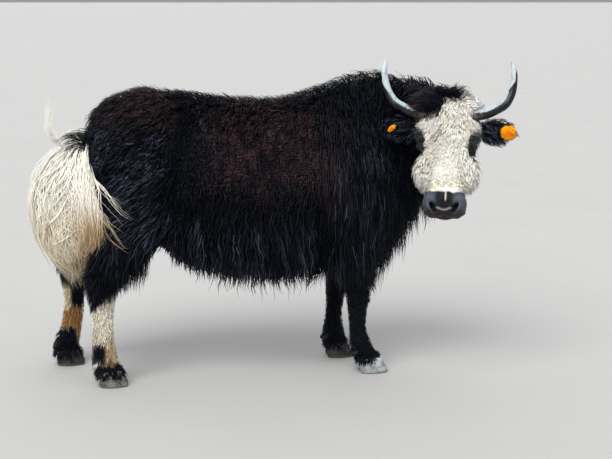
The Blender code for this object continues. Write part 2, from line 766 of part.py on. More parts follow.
def ears():
    """A leaf with a hollow cup on its front face."""
    made = {}
    for name, sign in SIDES.items():
        root = head_point(sign * EAR_ROOT[0], *EAR_ROOT[1:])
        tip = head_point(sign * EAR_TIP[0], *EAR_TIP[1:])
        reach = tip - root
        wide = reach.cross(FRONT).normalized()
        stations = [
            (root + reach * at, EAR_HALF_WIDTH * size, EAR_HALF_THICKNESS * (0.35 + 0.65 * size))
            for at, size in EAR_OUTLINE
        ]
        ear = sweep("ear_" + name, stations, FRONT, 10)
        out = wide.cross(reach).normalized()
        out = out if out.dot(FRONT) > 0 else -out
        frame = Matrix((wide, reach.normalized(), out)).transposed()
        hollow = root + reach * 0.60 + out * EAR_HALF_THICKNESS * 1.02
        cup = ball("cup", hollow, (EAR_HALF_WIDTH * 0.66, reach.length * 0.33, 0.016), frame, 10, 6)
        made["ear_" + name] = boolean(ear, "DIFFERENCE", cup)
    return made


def ear_tassels():
    """Round yarn tassels tied through the ears near the tips."""
    made = {}
    for name, sign in SIDES.items():
        root = head_point(sign * EAR_ROOT[0], *EAR_ROOT[1:])
        tip = head_point(sign * EAR_TIP[0], *EAR_TIP[1:])
        place = root.lerp(tip, TAG_PLACE) + FRONT * (EAR_HALF_THICKNESS * 0.6)
        place += SIDEWAYS * TAG_SHIFTS[name][0] + ALONG * TAG_SHIFTS[name][1]
        bm = bmesh.new()
        bmesh.ops.create_icosphere(bm, subdivisions=1, radius=TAG_RADII[name])
        for vert in bm.verts:
            vert.co *= 1.0 + draw.uniform(-0.09, 0.09)
            vert.co.z *= 0.66
        turn = FRONT.to_track_quat("Z", "Y").to_matrix().to_4x4()
        bmesh.ops.transform(bm, matrix=Matrix.Translation(place) @ turn, verts=bm.verts)
        made["ear_tassel_" + name] = object_from("ear_tassel_" + name, bm)
    return made


# Feet

def hooves():
    made = {}
    for leg, (rings, sign) in LEGS.items():
        x, y = rings[-1][0], sign * rings[-1][1]
        for toe, toe_sign in (("outer", sign), ("inner", -sign)):
            name = f"{leg}_hoof_{toe}"
            middle = y + toe_sign * (CLAW_HALF_WIDTH + CLAW_SPLIT)
            rings_of_claw = []
            for height, forward, length, width in (
                (0.000, TOE_REACH, 1.00, 0.96),
                (0.012, TOE_REACH * 0.9, 1.02, 1.00),
                (0.040, TOE_REACH * 0.3, 0.92, 0.97),
                (0.090, -TOE_REACH, 0.78, 0.90),
            ):
                centre = Vector((x + forward, middle, height))
                long_way = Vector((CLAW_HALF_LENGTH * length, 0, 0))
                short_way = Vector((0, CLAW_HALF_WIDTH * width, 0))
                rings_of_claw.append((centre, long_way, short_way, 0.0))
            claw = loft(name, rings_of_claw, 12)
            above = coronet_outline(x, None, 0.3)
            made[name] = boolean(claw, "DIFFERENCE", prism("above", above, seen_from_side, -0.6, 0.6, GAP))
    return made


def dewclaws(nodes):
    made = {}
    for leg, (rings, sign) in LEGS.items():
        x, y = rings[-3][0], sign * rings[-3][1]
        for toe, toe_sign in (("outer", sign), ("inner", -sign)):
            name = f"{leg}_dewclaw_{toe}"
            middle = y + toe_sign * DEWCLAW_SPREAD
            top = Vector((x - 0.030, middle, DEWCLAW_HEIGHT))
            tip = Vector((x - 0.064, middle + toe_sign * 0.004, DEWCLAW_HEIGHT - 0.030))
            stations = ((top, 0.017, 0.013), (top.lerp(tip, 0.6), 0.015, 0.011), (tip, 0.007, 0.005))
            claw = sweep(name, stations, Vector((1.0, 0.0, 0.3)), 6)
            made[name] = carve(claw, nodes[leg + "_lower"])
    return made


# Coat locks

class Coat:
    """Grows flat, tapered locks that lie along a surface and then hang free of it."""

    def __init__(self, surface):
        self.surface = BVHTree.FromObject(surface, bpy.context.evaluated_depsgraph_get())

    def root_from(self, inside, direction):
        """Where a ray from inside the surface comes out, and the outward normal there."""
        place, normal, _, _ = self.surface.ray_cast(inside, direction)
        return place, normal if normal.dot(direction) > 0 else -normal

    def lifted(self, point, least):
        """The point, pushed out to stand at least so high over the surface, and the normal."""
        near, normal, _, _ = self.surface.find_nearest(point)
        height = (point - near).dot(normal)
        return (near + normal * least if height < least else point), normal

    def lock(self, name, root, normal, heading, length, width, droop=0.5, lift=0.010, steps=4):
        """One lock: its root is sunk, it sets out along 'heading' and droops to hang down."""
        down = Vector((0.0, 0.0, -1.0))
        least = LOCK_THICKNESS / 2.0 + HAIR_GAP
        along = (heading - normal * heading.dot(normal)).normalized()
        path = [root + normal * least * 0.5]
        outs = [normal]
        marks = steps * 3
        for i in range(1, marks):
            along = along.lerp(down, droop * 0.35).normalized()
            share = i / marks
            point, out = self.lifted(path[-1] + along * (length / marks), least + lift * share)
            path.append(point)
            level = outs[-1] - along * outs[-1].dot(along)
            across = abs(out.dot(along)) < 0.6 and out.dot(level) > 0
            outs.append(level.lerp(out, 0.2 if across else 0.0).normalized())
        for _ in range(2):
            path[1:-1] = [(a + b * 2.0 + c) / 4.0 for a, b, c in zip(path, path[1:], path[2:])]
        first = (path[1] - path[0]).normalized()
        sunk = root - first * ROOT_DEPTH * 1.2 - normal * ROOT_DEPTH
        spots = [sunk] + path[1::3] + [path[-1] + (path[-1] - path[-2]) * 0.6]
        turned = [normal] + outs[1::3] + [outs[-1]]
        stations = []
        for i, spot in enumerate(spots):
            share = i / (len(spots) - 1)
            full = 1.0 - 0.92 * share ** 2.2 - 0.25 * (1.0 - share) ** 4
            stations.append((spot, width / 2.0 * full, LOCK_THICKNESS / 2.0 * full))
        return sweep(name, stations, turned, LOCK_SIDES)


def varied(value, by=0.10):
    return value * draw.uniform(1.0 - by, 1.0 + by)


def skirt_tip(x):
    return SKIRT_LOWEST[1] + SKIRT_ARCH * (x - SKIRT_LOWEST[0]) ** 2


def skirt_locks(coat):
    """The long skirt along the belly, in tiers on each side."""
    made = []
    first, last = SKIRT_SPAN
    for sign in SIDES.values():
        for tier, (angle, count, share) in enumerate(SKIRT_TIERS):
            turn = math.radians(-angle)
            out = Vector((0.0, sign * math.cos(turn), math.sin(turn)))
            for i in range(count):
                x = first + (last - first) * (i + 0.5 * (tier % 2)) / (count - 0.5)
                root, normal = coat.root_from(Vector((x, 0.0, 0.80)), out)
                drop = (root.z - skirt_tip(x)) * share
                heading = Vector((draw.uniform(-0.30, 0.05), sign * 0.10, -1.0))
                width = (last - first) / count * 1.75
                made.append(coat.lock("skirt", root, normal, heading, varied(drop), varied(width)))
    return made


def leg_locks(coat, leg, rings, sign):
    """Long hair that hangs round the upper leg, on its outer, front and hinder sides."""
    made = []
    tiers = HIND_TIERS if leg.startswith("hind") else FORE_TIERS
    for tier, (high, low, count, width) in enumerate(tiers):
        nearest = min(rings, key=lambda ring: abs(ring[2] - high))
        centre = Vector((nearest[0], sign * nearest[1], high))
        for i in range(count):
            turn = math.radians(-20.0 + 220.0 * (i + 0.5 * tier) / count)
            out = Vector((math.cos(turn), sign * math.sin(turn), 0.0))
            root, normal = coat.root_from(centre, out)
            heading = Vector((draw.uniform(-0.25, 0.05), 0.0, -1.0))
            made.append(coat.lock(leg + "_hair", root, normal, heading, varied(high - low), varied(width)))
    return made


def brisket_locks(coat):
    """The long hair that hangs in front of and between the forelegs."""
    made = []
    for i, x in enumerate(BRISKET_PLACES):
        share = i / (len(BRISKET_PLACES) - 1)
        low = BRISKET_TIPS[0] + (BRISKET_TIPS[1] - BRISKET_TIPS[0]) * share
        for angle in BRISKET_ANGLES:
            turn = math.radians(angle)
            out = Vector((0.0, math.cos(turn), math.sin(turn)))
            root, normal = coat.root_from(Vector((x, 0.0, 0.85)), out)
            heading = Vector((0.25 * normal.x, 0.2 * normal.y, -1.0))
            made.append(coat.lock("brisket", root, normal, heading, varied(root.z - low), varied(0.085)))
    return made


def beard_locks(coat):
    """The long hair under the neck, from the chest up to the throat."""
    made = []
    for row in range(BEARD_ROWS):
        share = row / (BEARD_ROWS - 1)
        spine = BEARD_RUN[0].lerp(BEARD_RUN[1], share)
        low = BEARD_TIPS[0] + (BEARD_TIPS[1] - BEARD_TIPS[0]) * share
        across = Vector((0.45 * share, 1.0 - 0.35 * share, 0.0)).normalized()
        for angle in BEARD_ANGLES:
            turn = math.radians(angle + draw.uniform(-8.0, 8.0))
            out = across * math.cos(turn) + Vector((0.0, 0.0, 1.0)) * math.sin(turn)
            root, normal = coat.root_from(spine, out)
            steep = abs(math.sin(turn))
            drop = (root.z - low) * (0.55 + 0.45 * steep)
            heading = Vector((draw.uniform(-0.12, 0.02), 0.0, -1.0))
            made.append(coat.lock("beard", root, normal, heading, varied(drop), varied(0.085), lift=0.004))
    return made


def forelock(coat):
    """Tufts that stand on the poll and part over the forehead."""
    made = []
    for i in range(FORELOCK_COUNT):
        side = -0.080 + 0.160 * i / (FORELOCK_COUNT - 1)
        out = (FRONT * (0.10 + 0.5 * (i % 2)) - ALONG + SIDEWAYS * side * 3.0).normalized()
        root, normal = coat.root_from(head_point(side * 0.6, 0.040, -0.080), out)
        heading = FRONT * 0.8 - ALONG * 0.5 + SIDEWAYS * side * 8.0
        made.append(coat.lock(
            "forelock", root, normal, heading, varied(0.090), 0.058, droop=0.06, lift=0.034, steps=3,
        ))
    return made


def tail_locks(dock):
    """Full hair all round the dock, in tiers, with a wisp that curls up at the top."""
    coat = Coat(dock)
    made = []
    for tier, (high, low, count, swing) in enumerate(TAIL_TIERS):
        middle = min(TAIL_STATIONS, key=lambda station: abs(station[0][2] - high))[0]
        centre = Vector((middle[0], 0.0, high))
        for i in range(count):
            turn = math.radians(50.0 + 260.0 * (i + 0.5 * (tier % 2)) / (count - 0.5))
            out = Vector((math.cos(turn), math.sin(turn), 0.0))
            root, normal = coat.root_from(centre, out)
            heading = Vector((out.x * 0.5, out.y * 0.5, -1.0))
            made.append(coat.lock(
                "tail_hair", root, normal, heading, varied(high - low), varied(0.085), lift=swing,
            ))
    made.append(sweep("wisp", TAIL_WISP, Vector((-1.0, 0.0, 0.3)), LOCK_SIDES))
    return made


def tail_form():
    return sweep("tail", TAIL_STATIONS, Vector((-1.0, 0.0, 0.2)), TAIL_SIDES)


# Assembly

def finish_nodes(nodes):
    """Materials, and a frame whose origin is under the middle of the whole."""
    low = Vector((math.inf,) * 3)
    high = -low
    for obj in nodes.values():
        for vert in obj.data.vertices:
            low = Vector(map(min, low, vert.co))
            high = Vector(map(max, high, vert.co))
    shift = Matrix.Translation(Vector((-(low.x + high.x) / 2.0, -(low.y + high.y) / 2.0, 0.0)))
    for name, obj in nodes.items():
        obj.data.transform(shift)
        obj.name = name
        obj.data.materials.clear()
        obj.data.materials.append(finish_of(name))


def finish_of(name):
    if name.startswith("horn"):
        return material("horn", HORN_GREY, 0.35)
    if name.startswith("eye"):
        return material("eye", EYE_BROWN, 0.08)
    if name.startswith("ear_tassel"):
        return material("orange_yarn", TASSEL_ORANGE, 0.9)
    if "hoof" in name or "dewclaw" in name:
        return material("hoof", HOOF_GREY, 0.5)
    if name == "tail":
        return material("tail_hair", TAIL_COAT, 0.8)
    if name == "head":
        return material("white_face", WHITE_COAT, 0.85)
    if name.startswith("hind") and name.endswith("lower"):
        return material("tan_coat", TAN_COAT, 0.8)
    return material("black_coat", BLACK_COAT, 0.75)


def main():
    clear_scene()
    flesh = flesh_form()
    coat = Coat(flesh)
    nodes = part_flesh(flesh)
    head = add_face(nodes["head"])
    fuse(head, eyelids() + forelock(coat))
    for name, eye in eyes().items():
        carve(head, eye)
        nodes[name] = eye
    for name, horn in horns().items():
        nodes[name] = carve(horn, head)
    for name, ear in ears().items():
        nodes[name] = carve(ear, head)
    for name, tassel in ear_tassels().items():
        nodes[name] = carve(tassel, nodes[name.replace("ear_tassel", "ear")])
    nodes.update(hooves())
    nodes.update(dewclaws(nodes))
    for leg, (rings, sign) in LEGS.items():
        upper = fuse(nodes[leg + "_upper"], leg_locks(coat, leg, rings, sign))
        carve(upper, nodes[leg + "_lower"], nodes["torso"])
    fuse(nodes["torso"], skirt_locks(coat) + brisket_locks(coat))
    carve(nodes["torso"], *(nodes[leg + "_upper"] for leg in LEGS))
    fuse(nodes["neck"], beard_locks(coat))
    beside = ("torso", "fore_left_upper", "fore_right_upper", "head", "ear_left", "ear_right")
    carve(nodes["neck"], *(nodes[name] for name in beside))
    dock = tail_form()
    tail = fuse(copy_of(dock, "tail"), tail_locks(dock))
    nodes["tail"] = carve(tail, nodes["torso"], nodes["hind_left_upper"], nodes["hind_right_upper"])
    remove(flesh, dock)
    finish_nodes(nodes)


main()
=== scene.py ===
"""Looks of a life-size yak: its skin, long coat, face, horns, hooves, tail and ear tassels.

Sizes are in metres. The forms are written in the body's own frame, in which x = 0 lies midway
between the feet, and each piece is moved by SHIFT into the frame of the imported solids.
"""

import functools
import math

import bmesh
import bpy
import numpy as np
from mathutils import Matrix, Vector, noise
from mathutils.bvhtree import BVHTree


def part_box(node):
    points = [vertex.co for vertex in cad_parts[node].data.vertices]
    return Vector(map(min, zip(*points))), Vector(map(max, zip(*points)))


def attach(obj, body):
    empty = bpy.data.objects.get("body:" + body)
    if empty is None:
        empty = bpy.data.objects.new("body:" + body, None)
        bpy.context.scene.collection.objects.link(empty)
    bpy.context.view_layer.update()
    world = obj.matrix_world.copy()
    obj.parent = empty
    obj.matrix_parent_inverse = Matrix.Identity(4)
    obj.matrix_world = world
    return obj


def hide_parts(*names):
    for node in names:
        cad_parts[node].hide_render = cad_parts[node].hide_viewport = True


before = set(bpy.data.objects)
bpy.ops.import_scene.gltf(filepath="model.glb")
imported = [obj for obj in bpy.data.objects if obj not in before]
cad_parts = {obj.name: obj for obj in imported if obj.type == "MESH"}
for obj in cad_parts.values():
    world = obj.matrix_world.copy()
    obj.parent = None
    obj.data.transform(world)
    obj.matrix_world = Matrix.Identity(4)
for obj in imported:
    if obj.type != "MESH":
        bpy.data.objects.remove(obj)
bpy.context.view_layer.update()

bl_info = {
    "name": "Yak looks",
    "version": (1, 0, 0),
    "blender": (4, 5, 0),
    "location": "View3D > Sidebar > Yak",
    "description": "Builds the skin, coat and fittings of a life-size yak round its packed solids",
    "category": "Object",
}

EPSILON = 1e-6                  # keeps a division away from zero
DOWN = Vector((0.0, 0.0, -1.0))
X_AXIS, Y_AXIS, Z_AXIS = (1.0, 0.0, 0.0), (0.0, 1.0, 0.0), (0.0, 0.0, 1.0)

# Flesh of the trunk: each ring is x, underside, top line, half width, and how much it narrows upwards
TORSO_RINGS = (
    (-0.565, 0.880, 1.015, 0.070, 0.0),
    (-0.530, 0.760, 1.100, 0.150, 0.1),
    (-0.445, 0.660, 1.178, 0.215, 0.1),
    (-0.330, 0.600, 1.210, 0.243, 0.1),
    (-0.180, 0.555, 1.186, 0.255, 0.1),
    (0.000, 0.525, 1.164, 0.278, 0.1),
    (0.150, 0.512, 1.150, 0.284, 0.12),
    (0.280, 0.512, 1.155, 0.275, 0.18),
    (0.400, 0.525, 1.192, 0.255, 0.30),
    (0.520, 0.548, 1.240, 0.235, 0.42),
    (0.640, 0.570, 1.272, 0.208, 0.46),
    (0.740, 0.610, 1.256, 0.172, 0.42),
    (0.820, 0.680, 1.170, 0.125, 0.30),
    (0.858, 0.760, 1.050, 0.080, 0.0),
)

# Neck: each ring is its centre, half width and half depth; it bends to the right
NECK_RINGS = (
    ((0.600, 0.000, 0.960), 0.150, 0.240),
    ((0.745, -0.010, 0.990), 0.160, 0.258),
    ((0.848, -0.050, 1.022), 0.138, 0.226),
    ((0.912, -0.120, 1.048), 0.122, 0.186),
    ((0.940, -0.195, 1.062), 0.112, 0.142),
    ((0.946, -0.270, 1.075), 0.100, 0.120),
)

# Head: a frame at the poll, with the face axis towards the nose
POLL = Vector((0.912, -0.320, 1.192))
HEAD_HEADING = math.radians(-108.0)
FACE_SLOPE = math.radians(62.0)
HEAD_ROLL = math.radians(-0.5)
# Each ring is the place along the face, half width, front, back, and how much it narrows forwards
HEAD_RINGS = (
    (-0.032, 0.070, -0.040, -0.120, 0.0),
    (0.000, 0.108, -0.006, -0.165, -0.10),
    (0.060, 0.120, 0.010, -0.205, -0.18),
    (0.130, 0.116, 0.012, -0.222, -0.25),
    (0.200, 0.100, 0.007, -0.214, -0.22),
    (0.275, 0.084, 0.001, -0.186, -0.12),
    (0.338, 0.078, -0.003, -0.164, -0.05),
    (0.393, 0.080, -0.006, -0.150, 0.0),
    (0.434, 0.086, -0.010, -0.144, 0.05),
    (0.466, 0.084, -0.022, -0.132, 0.05),
    (0.486, 0.060, -0.046, -0.108, 0.0),
)

# Eyes, in the head frame: along the face, to the side and in front
EYE_ALONG = 0.165
EYE_SIDE = 0.1125
EYE_DEPTH = -0.050
EYE_RADIUS = 0.0195
EYE_GAP = 0.0004                # between an eyeball and its hollow
EYE_SEGMENTS = (40, 28)
LID_HALF_LENGTH = 0.0205
LID_HALF_HEIGHT = 0.0150
LID_WIRE = 0.0042
LID_STEPS = 28

NOTCH_SIDE = 0.006              # the white notch in the upper edge of the muzzle
# The line of the mouth: how far along the face, and in front
MOUTH_ALONG = (0.338, 0.378, 0.420, 0.458, 0.498)
MOUTH_DEPTH = (-0.118, -0.110, -0.104, -0.100, -0.097)

# Horns, in the head frame: side, along the face, in front, and the half thickness there
HORN_STATIONS = (
    (0.085, 0.052, -0.046, 0.0255),
    (0.145, 0.045, -0.052, 0.0225),
    (0.189, 0.023, -0.060, 0.0208),
    (0.228, -0.005, -0.066, 0.0198),
    (0.253, -0.046, -0.062, 0.0178),
    (0.264, -0.085, -0.048, 0.0152),
    (0.267, -0.126, -0.026, 0.0118),
    (0.257, -0.163, -0.006, 0.0036),
)
# Both horns lean to the right and reach higher than their stations, by a share of the height over the roots
HORN_LEAN = 0.06
HORN_STRETCH = 0.04
HORN_POINTS = 72

# Ears, in the head frame
EAR_ROOT = (0.092, 0.092, -0.096)
EAR_TIP = (0.268, 0.122, -0.062)
EAR_HALF_WIDTH = 0.048
EAR_HALF_THICKNESS = 0.019
EAR_OUTLINE = (
    (0.0, 0.45), (0.18, 0.62), (0.38, 0.92), (0.58, 1.0), (0.78, 0.82), (0.92, 0.48), (1.0, 0.14),
)

# Legs: y from the middle, z and half width of each ring, then x and half length of the near leg and the far
HIND_RINGS = (
    (0.110, 0.960, 0.110, -0.350, 0.175, -0.360, 0.175),
    (0.140, 0.830, 0.112, -0.360, 0.190, -0.385, 0.185),
    (0.160, 0.700, 0.100, -0.375, 0.165, -0.430, 0.155),
    (0.172, 0.580, 0.078, -0.425, 0.112, -0.510, 0.105),
    (0.180, 0.480, 0.055, -0.482, 0.070, -0.598, 0.068),
    (0.182, 0.425, 0.050, -0.508, 0.058, -0.628, 0.058),
    (0.182, 0.360, 0.043, -0.511, 0.048, -0.630, 0.047),
    (0.182, 0.260, 0.038, -0.510, 0.041, -0.635, 0.040),
    (0.182, 0.175, 0.040, -0.508, 0.043, -0.649, 0.042),
    (0.182, 0.125, 0.048, -0.504, 0.049, -0.664, 0.048),
    (0.182, 0.085, 0.046, -0.494, 0.041, -0.668, 0.043),
    (0.182, 0.045, 0.052, -0.484, 0.050, -0.668, 0.050),
    (0.182, 0.022, 0.050, -0.482, 0.048, -0.667, 0.048),
)
FORE_RINGS = (
    (0.140, 0.920, 0.085, 0.560, 0.135, 0.545, 0.135),
    (0.150, 0.780, 0.088, 0.555, 0.130, 0.535, 0.130),
    (0.148, 0.660, 0.080, 0.552, 0.108, 0.530, 0.108),
    (0.142, 0.550, 0.064, 0.558, 0.080, 0.532, 0.078),
    (0.136, 0.440, 0.053, 0.566, 0.060, 0.532, 0.058),
    (0.134, 0.335, 0.050, 0.573, 0.053, 0.530, 0.053),
    (0.134, 0.275, 0.041, 0.572, 0.041, 0.521, 0.041),
    (0.134, 0.210, 0.037, 0.573, 0.036, 0.515, 0.036),
    (0.134, 0.165, 0.039, 0.577, 0.039, 0.513, 0.039),
    (0.134, 0.122, 0.047, 0.589, 0.047, 0.516, 0.047),
    (0.134, 0.085, 0.046, 0.608, 0.043, 0.522, 0.044),
    (0.134, 0.045, 0.052, 0.627, 0.050, 0.529, 0.050),
    (0.134, 0.022, 0.050, 0.630, 0.048, 0.530, 0.048),
)
NEAR, FAR = 3, 5                # the column in which each leg's x stands


def leg_rings(rows, leg):
    """One leg's rings, as x, y from the middle, z, half length and half width."""
    return [(row[leg], row[0], row[1], row[leg + 1], row[2]) for row in rows]


LEGS = {
    "hind_left": (leg_rings(HIND_RINGS, FAR), 1),
    "hind_right": (leg_rings(HIND_RINGS, NEAR), -1),
    "fore_left": (leg_rings(FORE_RINGS, FAR), 1),
    "fore_right": (leg_rings(FORE_RINGS, NEAR), -1),
}
ELBOW_RING = 2
JOINT_RING = 5                  # the ring at the hock or the knee
FETLOCK_RING = -3
SOLE_RING = -1
SIDES = {"left": 1, "right": -1}

# The dense inside of the tail, round its dock, as centre and radius
DOCK_STATIONS = (
    ((-0.520, 0.000, 0.985), 0.036),
    ((-0.585, 0.000, 0.972), 0.054),
    ((-0.628, 0.000, 0.915), 0.077),
    ((-0.642, 0.000, 0.830), 0.090),
    ((-0.642, 0.000, 0.720), 0.090),
    ((-0.634, 0.000, 0.620), 0.072),
    ((-0.622, 0.000, 0.530), 0.030),
)
# The tail's outline seen from the side: height, its hinder edge and its fore edge
TAIL_OUTLINE = (
    (1.030, -0.630, -0.545),
    (0.990, -0.672, -0.535),
    (0.925, -0.735, -0.525),
    (0.846, -0.775, -0.508),
    (0.740, -0.786, -0.494),
    (0.612, -0.762, -0.490),
    (0.525, -0.705, -0.505),
    (0.450, -0.650, -0.530),
    (0.370, -0.590, -0.560),
)

# Tips of the long hair, as x and the height of the tips there
BELLY_TIPS = (
    (-0.300, 0.600), (-0.248, 0.578), (-0.195, 0.517), (-0.147, 0.462), (-0.043, 0.416),
    (0.103, 0.381), (0.272, 0.384), (0.378, 0.430), (0.443, 0.440),
)
CHEST_TIPS = ((0.620, 0.370), (0.700, 0.380), (0.760, 0.480), (0.820, 0.600), (0.880, 0.730), (0.950, 0.900))
THIGH_TIPS = ((-0.520, 0.470), (-0.420, 0.385), (-0.310, 0.405), (-0.250, 0.520))

# Where the neck and the head begin
NECK_CUT_POINT = Vector((0.770, 0.0, 0.950))
NECK_CUT_NORMAL = Vector((0.970, -0.10, 0.22)).normalized()
HEAD_CUT_POINT = Vector((0.941, -0.228, 1.068))
HEAD_CUT_NORMAL = Vector((0.10, -0.98, 0.17)).normalized()

# The eye that took the photo: its place, the way it looks, and its lens on a 36 mm frame
CAMERA_PLACE = Vector((-0.4509, -5.4848, 1.5840))
CAMERA_AIM = Vector((0.1456, 0.9740, -0.1736))
CAMERA_LENS = 76.47
CAMERA_SENSOR = 36.0

PIECE_LIMIT = 195000            # most triangles in one piece of the coat
PATCH = 0.003                   # width of a tuft's patch on the bake map
ROOT_DEPTH = 0.003              # how deep a tuft is set in the skin
LOOSE = 0.35                    # how far tufts swing away from their guide hair
FLATNESS = 0.30                 # thickness of a tuft as a share of its width
CLOSE_CRIMP = 0.013             # height of one ripple on the barrel, and on the rump
WIDE_CRIMP = 0.021
HAIR_STEP = 90.0                # how far the noise of one tuft's hairs lies from the next one's
SHANK_SPACING = 0.010
FACE_SPACING = 0.0096
FRINGE_SPACING = 0.011
CUFF_TOP = 0.108                # below this the hair over the hooves is thicker
TAIL_GUIDES = 1500
TAIL_STEPS = 16
TASSEL_STRANDS = 520
FLOOR_REACH = 4000.0

# Parts of the body, for the unwrap and for the lie of the hair
TORSO, NECK, HEAD, TAIL, HIND_LEFT, HIND_RIGHT, FORE_LEFT, FORE_RIGHT, EAR_LEFT, EAR_RIGHT = range(10)
LEG_PARTS = {
    HIND_LEFT: "hind_left", HIND_RIGHT: "hind_right", FORE_LEFT: "fore_left", FORE_RIGHT: "fore_right",
}
EAR_PARTS = {EAR_LEFT: 1, EAR_RIGHT: -1}


# The head's own frame

def head_axes():
    ahead = Vector((math.cos(HEAD_HEADING), math.sin(HEAD_HEADING), 0.0))
    left = Vector((-ahead.y, ahead.x, 0.0))
    along = ahead * math.cos(FACE_SLOPE) - Vector((0, 0, math.sin(FACE_SLOPE)))
    front = ahead * math.sin(FACE_SLOPE) + Vector((0, 0, math.cos(FACE_SLOPE)))
    roll = Matrix.Rotation(HEAD_ROLL, 3, ahead)
    return roll @ left, roll @ along, roll @ front


SIDEWAYS, ALONG, FRONT = head_axes()
HEAD_FRAME = Matrix((SIDEWAYS, ALONG, FRONT)).transposed()


def head_point(side, along, front):
    return POLL + HEAD_FRAME @ Vector((side, along, front))


def in_head(places):
    """Places as (side, along, front) in the head's frame."""
    return (places - np.array(POLL)) @ np.array(HEAD_FRAME)


def frame_shift():
    """From the body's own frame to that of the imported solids, by the left eye."""
    low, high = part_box("eye_left")
    return (low + high) / 2.0 - head_point(EYE_SIDE, EYE_ALONG, EYE_DEPTH)


SHIFT = frame_shift()


def eye_axes(sign):
    """The way that an eye looks, and the ways along and across its lids."""
    look = (SIDEWAYS * sign + FRONT * 0.30).normalized()
    across = (ALONG - look * ALONG.dot(look)).normalized()
    return look, across, look.cross(across).normalized()


def ear_line(sign):
    """The root and the tip of an ear."""
    return [head_point(sign * side, along, front) for side, along, front in (EAR_ROOT, EAR_TIP)]


# Small tools for arrays

def unit(vectors):
    return vectors / np.maximum(np.linalg.norm(vectors, axis=-1, keepdims=True), EPSILON)


def dot(first, second):
    return np.sum(first * second, axis=-1, keepdims=True)


def smooth(values, low, high):
    """0 at low and 1 at high, with an eased way between."""
    share = np.clip((values - low) / (high - low), 0.0, 1.0)
    return share * share * (3.0 - 2.0 * share)


def blend(first, second, share):
    return first + (second - first) * share


def hump(values, middle, half):
    """1 at the middle, falling off softly on both sides."""
    return np.exp(-((values - middle) / half) ** 2)


def cloud(places, size, seed=0.0):
    """Soft noise from -1 to 1 that varies over about 'size' metres."""
    moved = np.asarray(places) / size + seed * 17.3
    return np.array([noise.noise(Vector(place)) for place in moved])


# Mesh tools

def object_from(name, bm):
    """A mesh object from a bmesh, with its faces turned outwards."""
    bmesh.ops.recalc_face_normals(bm, faces=bm.faces)
    mesh = bpy.data.meshes.new(name)
    bm.to_mesh(mesh)
    bm.free()
    obj = bpy.data.objects.new(name, mesh)
    bpy.context.scene.collection.objects.link(obj)
    return obj


def remove(*objects):
    for obj in objects:
        bpy.data.objects.remove(obj)


def apply_modifiers(obj):
    graph = bpy.context.evaluated_depsgraph_get()
    baked = bpy.data.meshes.new_from_object(obj.evaluated_get(graph))
    obj.modifiers.clear()
    obj.data = baked
    return obj


def ring_edges(bm, centre, across, up, sides, narrow=0.0):
    """One ring of a loft: a circle stretched over two half axes, narrower towards 'up'."""
    turn = Matrix((across, up, across.cross(up))).transposed()
    made = bmesh.ops.create_circle(bm, segments=sides, radius=1.0)
    for vert in made["verts"]:
        x, y, _ = vert.co
        vert.co = centre + turn @ Vector((x * (1.0 - narrow * y), y, 0.0))
    return list({edge for vert in made["verts"] for edge in vert.link_edges})


def loft(name, rings, sides):
    """A closed form through rings of (centre, across, up, narrow)."""
    bm = bmesh.new()
    loops = [ring_edges(bm, *ring[:3], sides, ring[3]) for ring in rings]
    for first, second in zip(loops, loops[1:]):
        bmesh.ops.bridge_loops(bm, edges=first + second)
    for end in (loops[0], loops[-1]):
        bmesh.ops.contextual_create(bm, geom=end)
    return object_from(name, bm)


def sweep(name, stations, outward, sides):
    """A closed form along a path of (point, half width, half thickness); outward is the thin way."""
    points = [Vector(station[0]) for station in stations]
    rings = []
    before = None
    for i, (_, wide, thick) in enumerate(stations):
        along = points[min(i + 1, len(points) - 1)] - points[max(i - 1, 0)]
        side = along.cross(outward).normalized()
        if before and side.dot(before) < 0:
            side.negate()
        before = side
        out = side.cross(along).normalized()
        rings.append((points[i], side * wide, out * thick, 0.0))
    return loft(name, rings, sides)


def ball(name, centre, radii, turn=None, segments=24, rings=16):
    """An ellipsoid with its half axes along a frame's axes."""
    bm = bmesh.new()
    bmesh.ops.create_uvsphere(bm, u_segments=segments, v_segments=rings, radius=1.0)
    frame_of = (turn or Matrix.Identity(3)).to_4x4()
    shape = Matrix.Translation(centre) @ frame_of @ Matrix.Diagonal((*radii, 1.0))
    bmesh.ops.transform(bm, matrix=shape, verts=bm.verts)
    return object_from(name, bm)


def joined(name, pieces):
    """The pieces' faces in one mesh."""
    bm = bmesh.new()
    for piece in pieces:
        bm.from_mesh(piece.data)
    remove(*pieces)
    return object_from(name, bm)


def melted(name, pieces, voxel, passes):
    """Closed forms melted into one smooth closed surface."""
    whole = joined(name, pieces)
    melt = whole.modifiers.new("melt", "REMESH")
    melt.mode = "VOXEL"
    melt.voxel_size = voxel
    soften = whole.modifiers.new("soften", "SMOOTH")
    soften.factor = 0.5
    soften.iterations = passes
    return apply_modifiers(whole)


def cut(target, operation, other):
    """A Boolean of the target with another closed mesh, which is then removed."""
    step = target.modifiers.new("cut", "BOOLEAN")
    step.operation = operation
    step.solver = "MANIFOLD"
    step.object = other
    apply_modifiers(target)
    remove(other)
    return target


def curve_through(stations, count):
    """Many smooth stations through a few: each is a point and its sizes, by Catmull-Rom."""
    rows = np.array([(*station[0], *station[1:]) for station in stations])
    ends = np.vstack([2 * rows[0] - rows[1], rows, 2 * rows[-1] - rows[-2]])
    made = []
    for at in np.linspace(0.0, len(rows) - 1.0, count):
        i = min(int(at), len(rows) - 2)
        t = at - i
        a, b, c, d = ends[i:i + 4]
        made.append(0.5 * (2 * b + (c - a) * t + (2 * a - 5 * b + 4 * c - d) * t ** 2
                           + (3 * b - a - 3 * c + d) * t ** 3))
    return [(Vector(row[:3]), *row[3:]) for row in made]


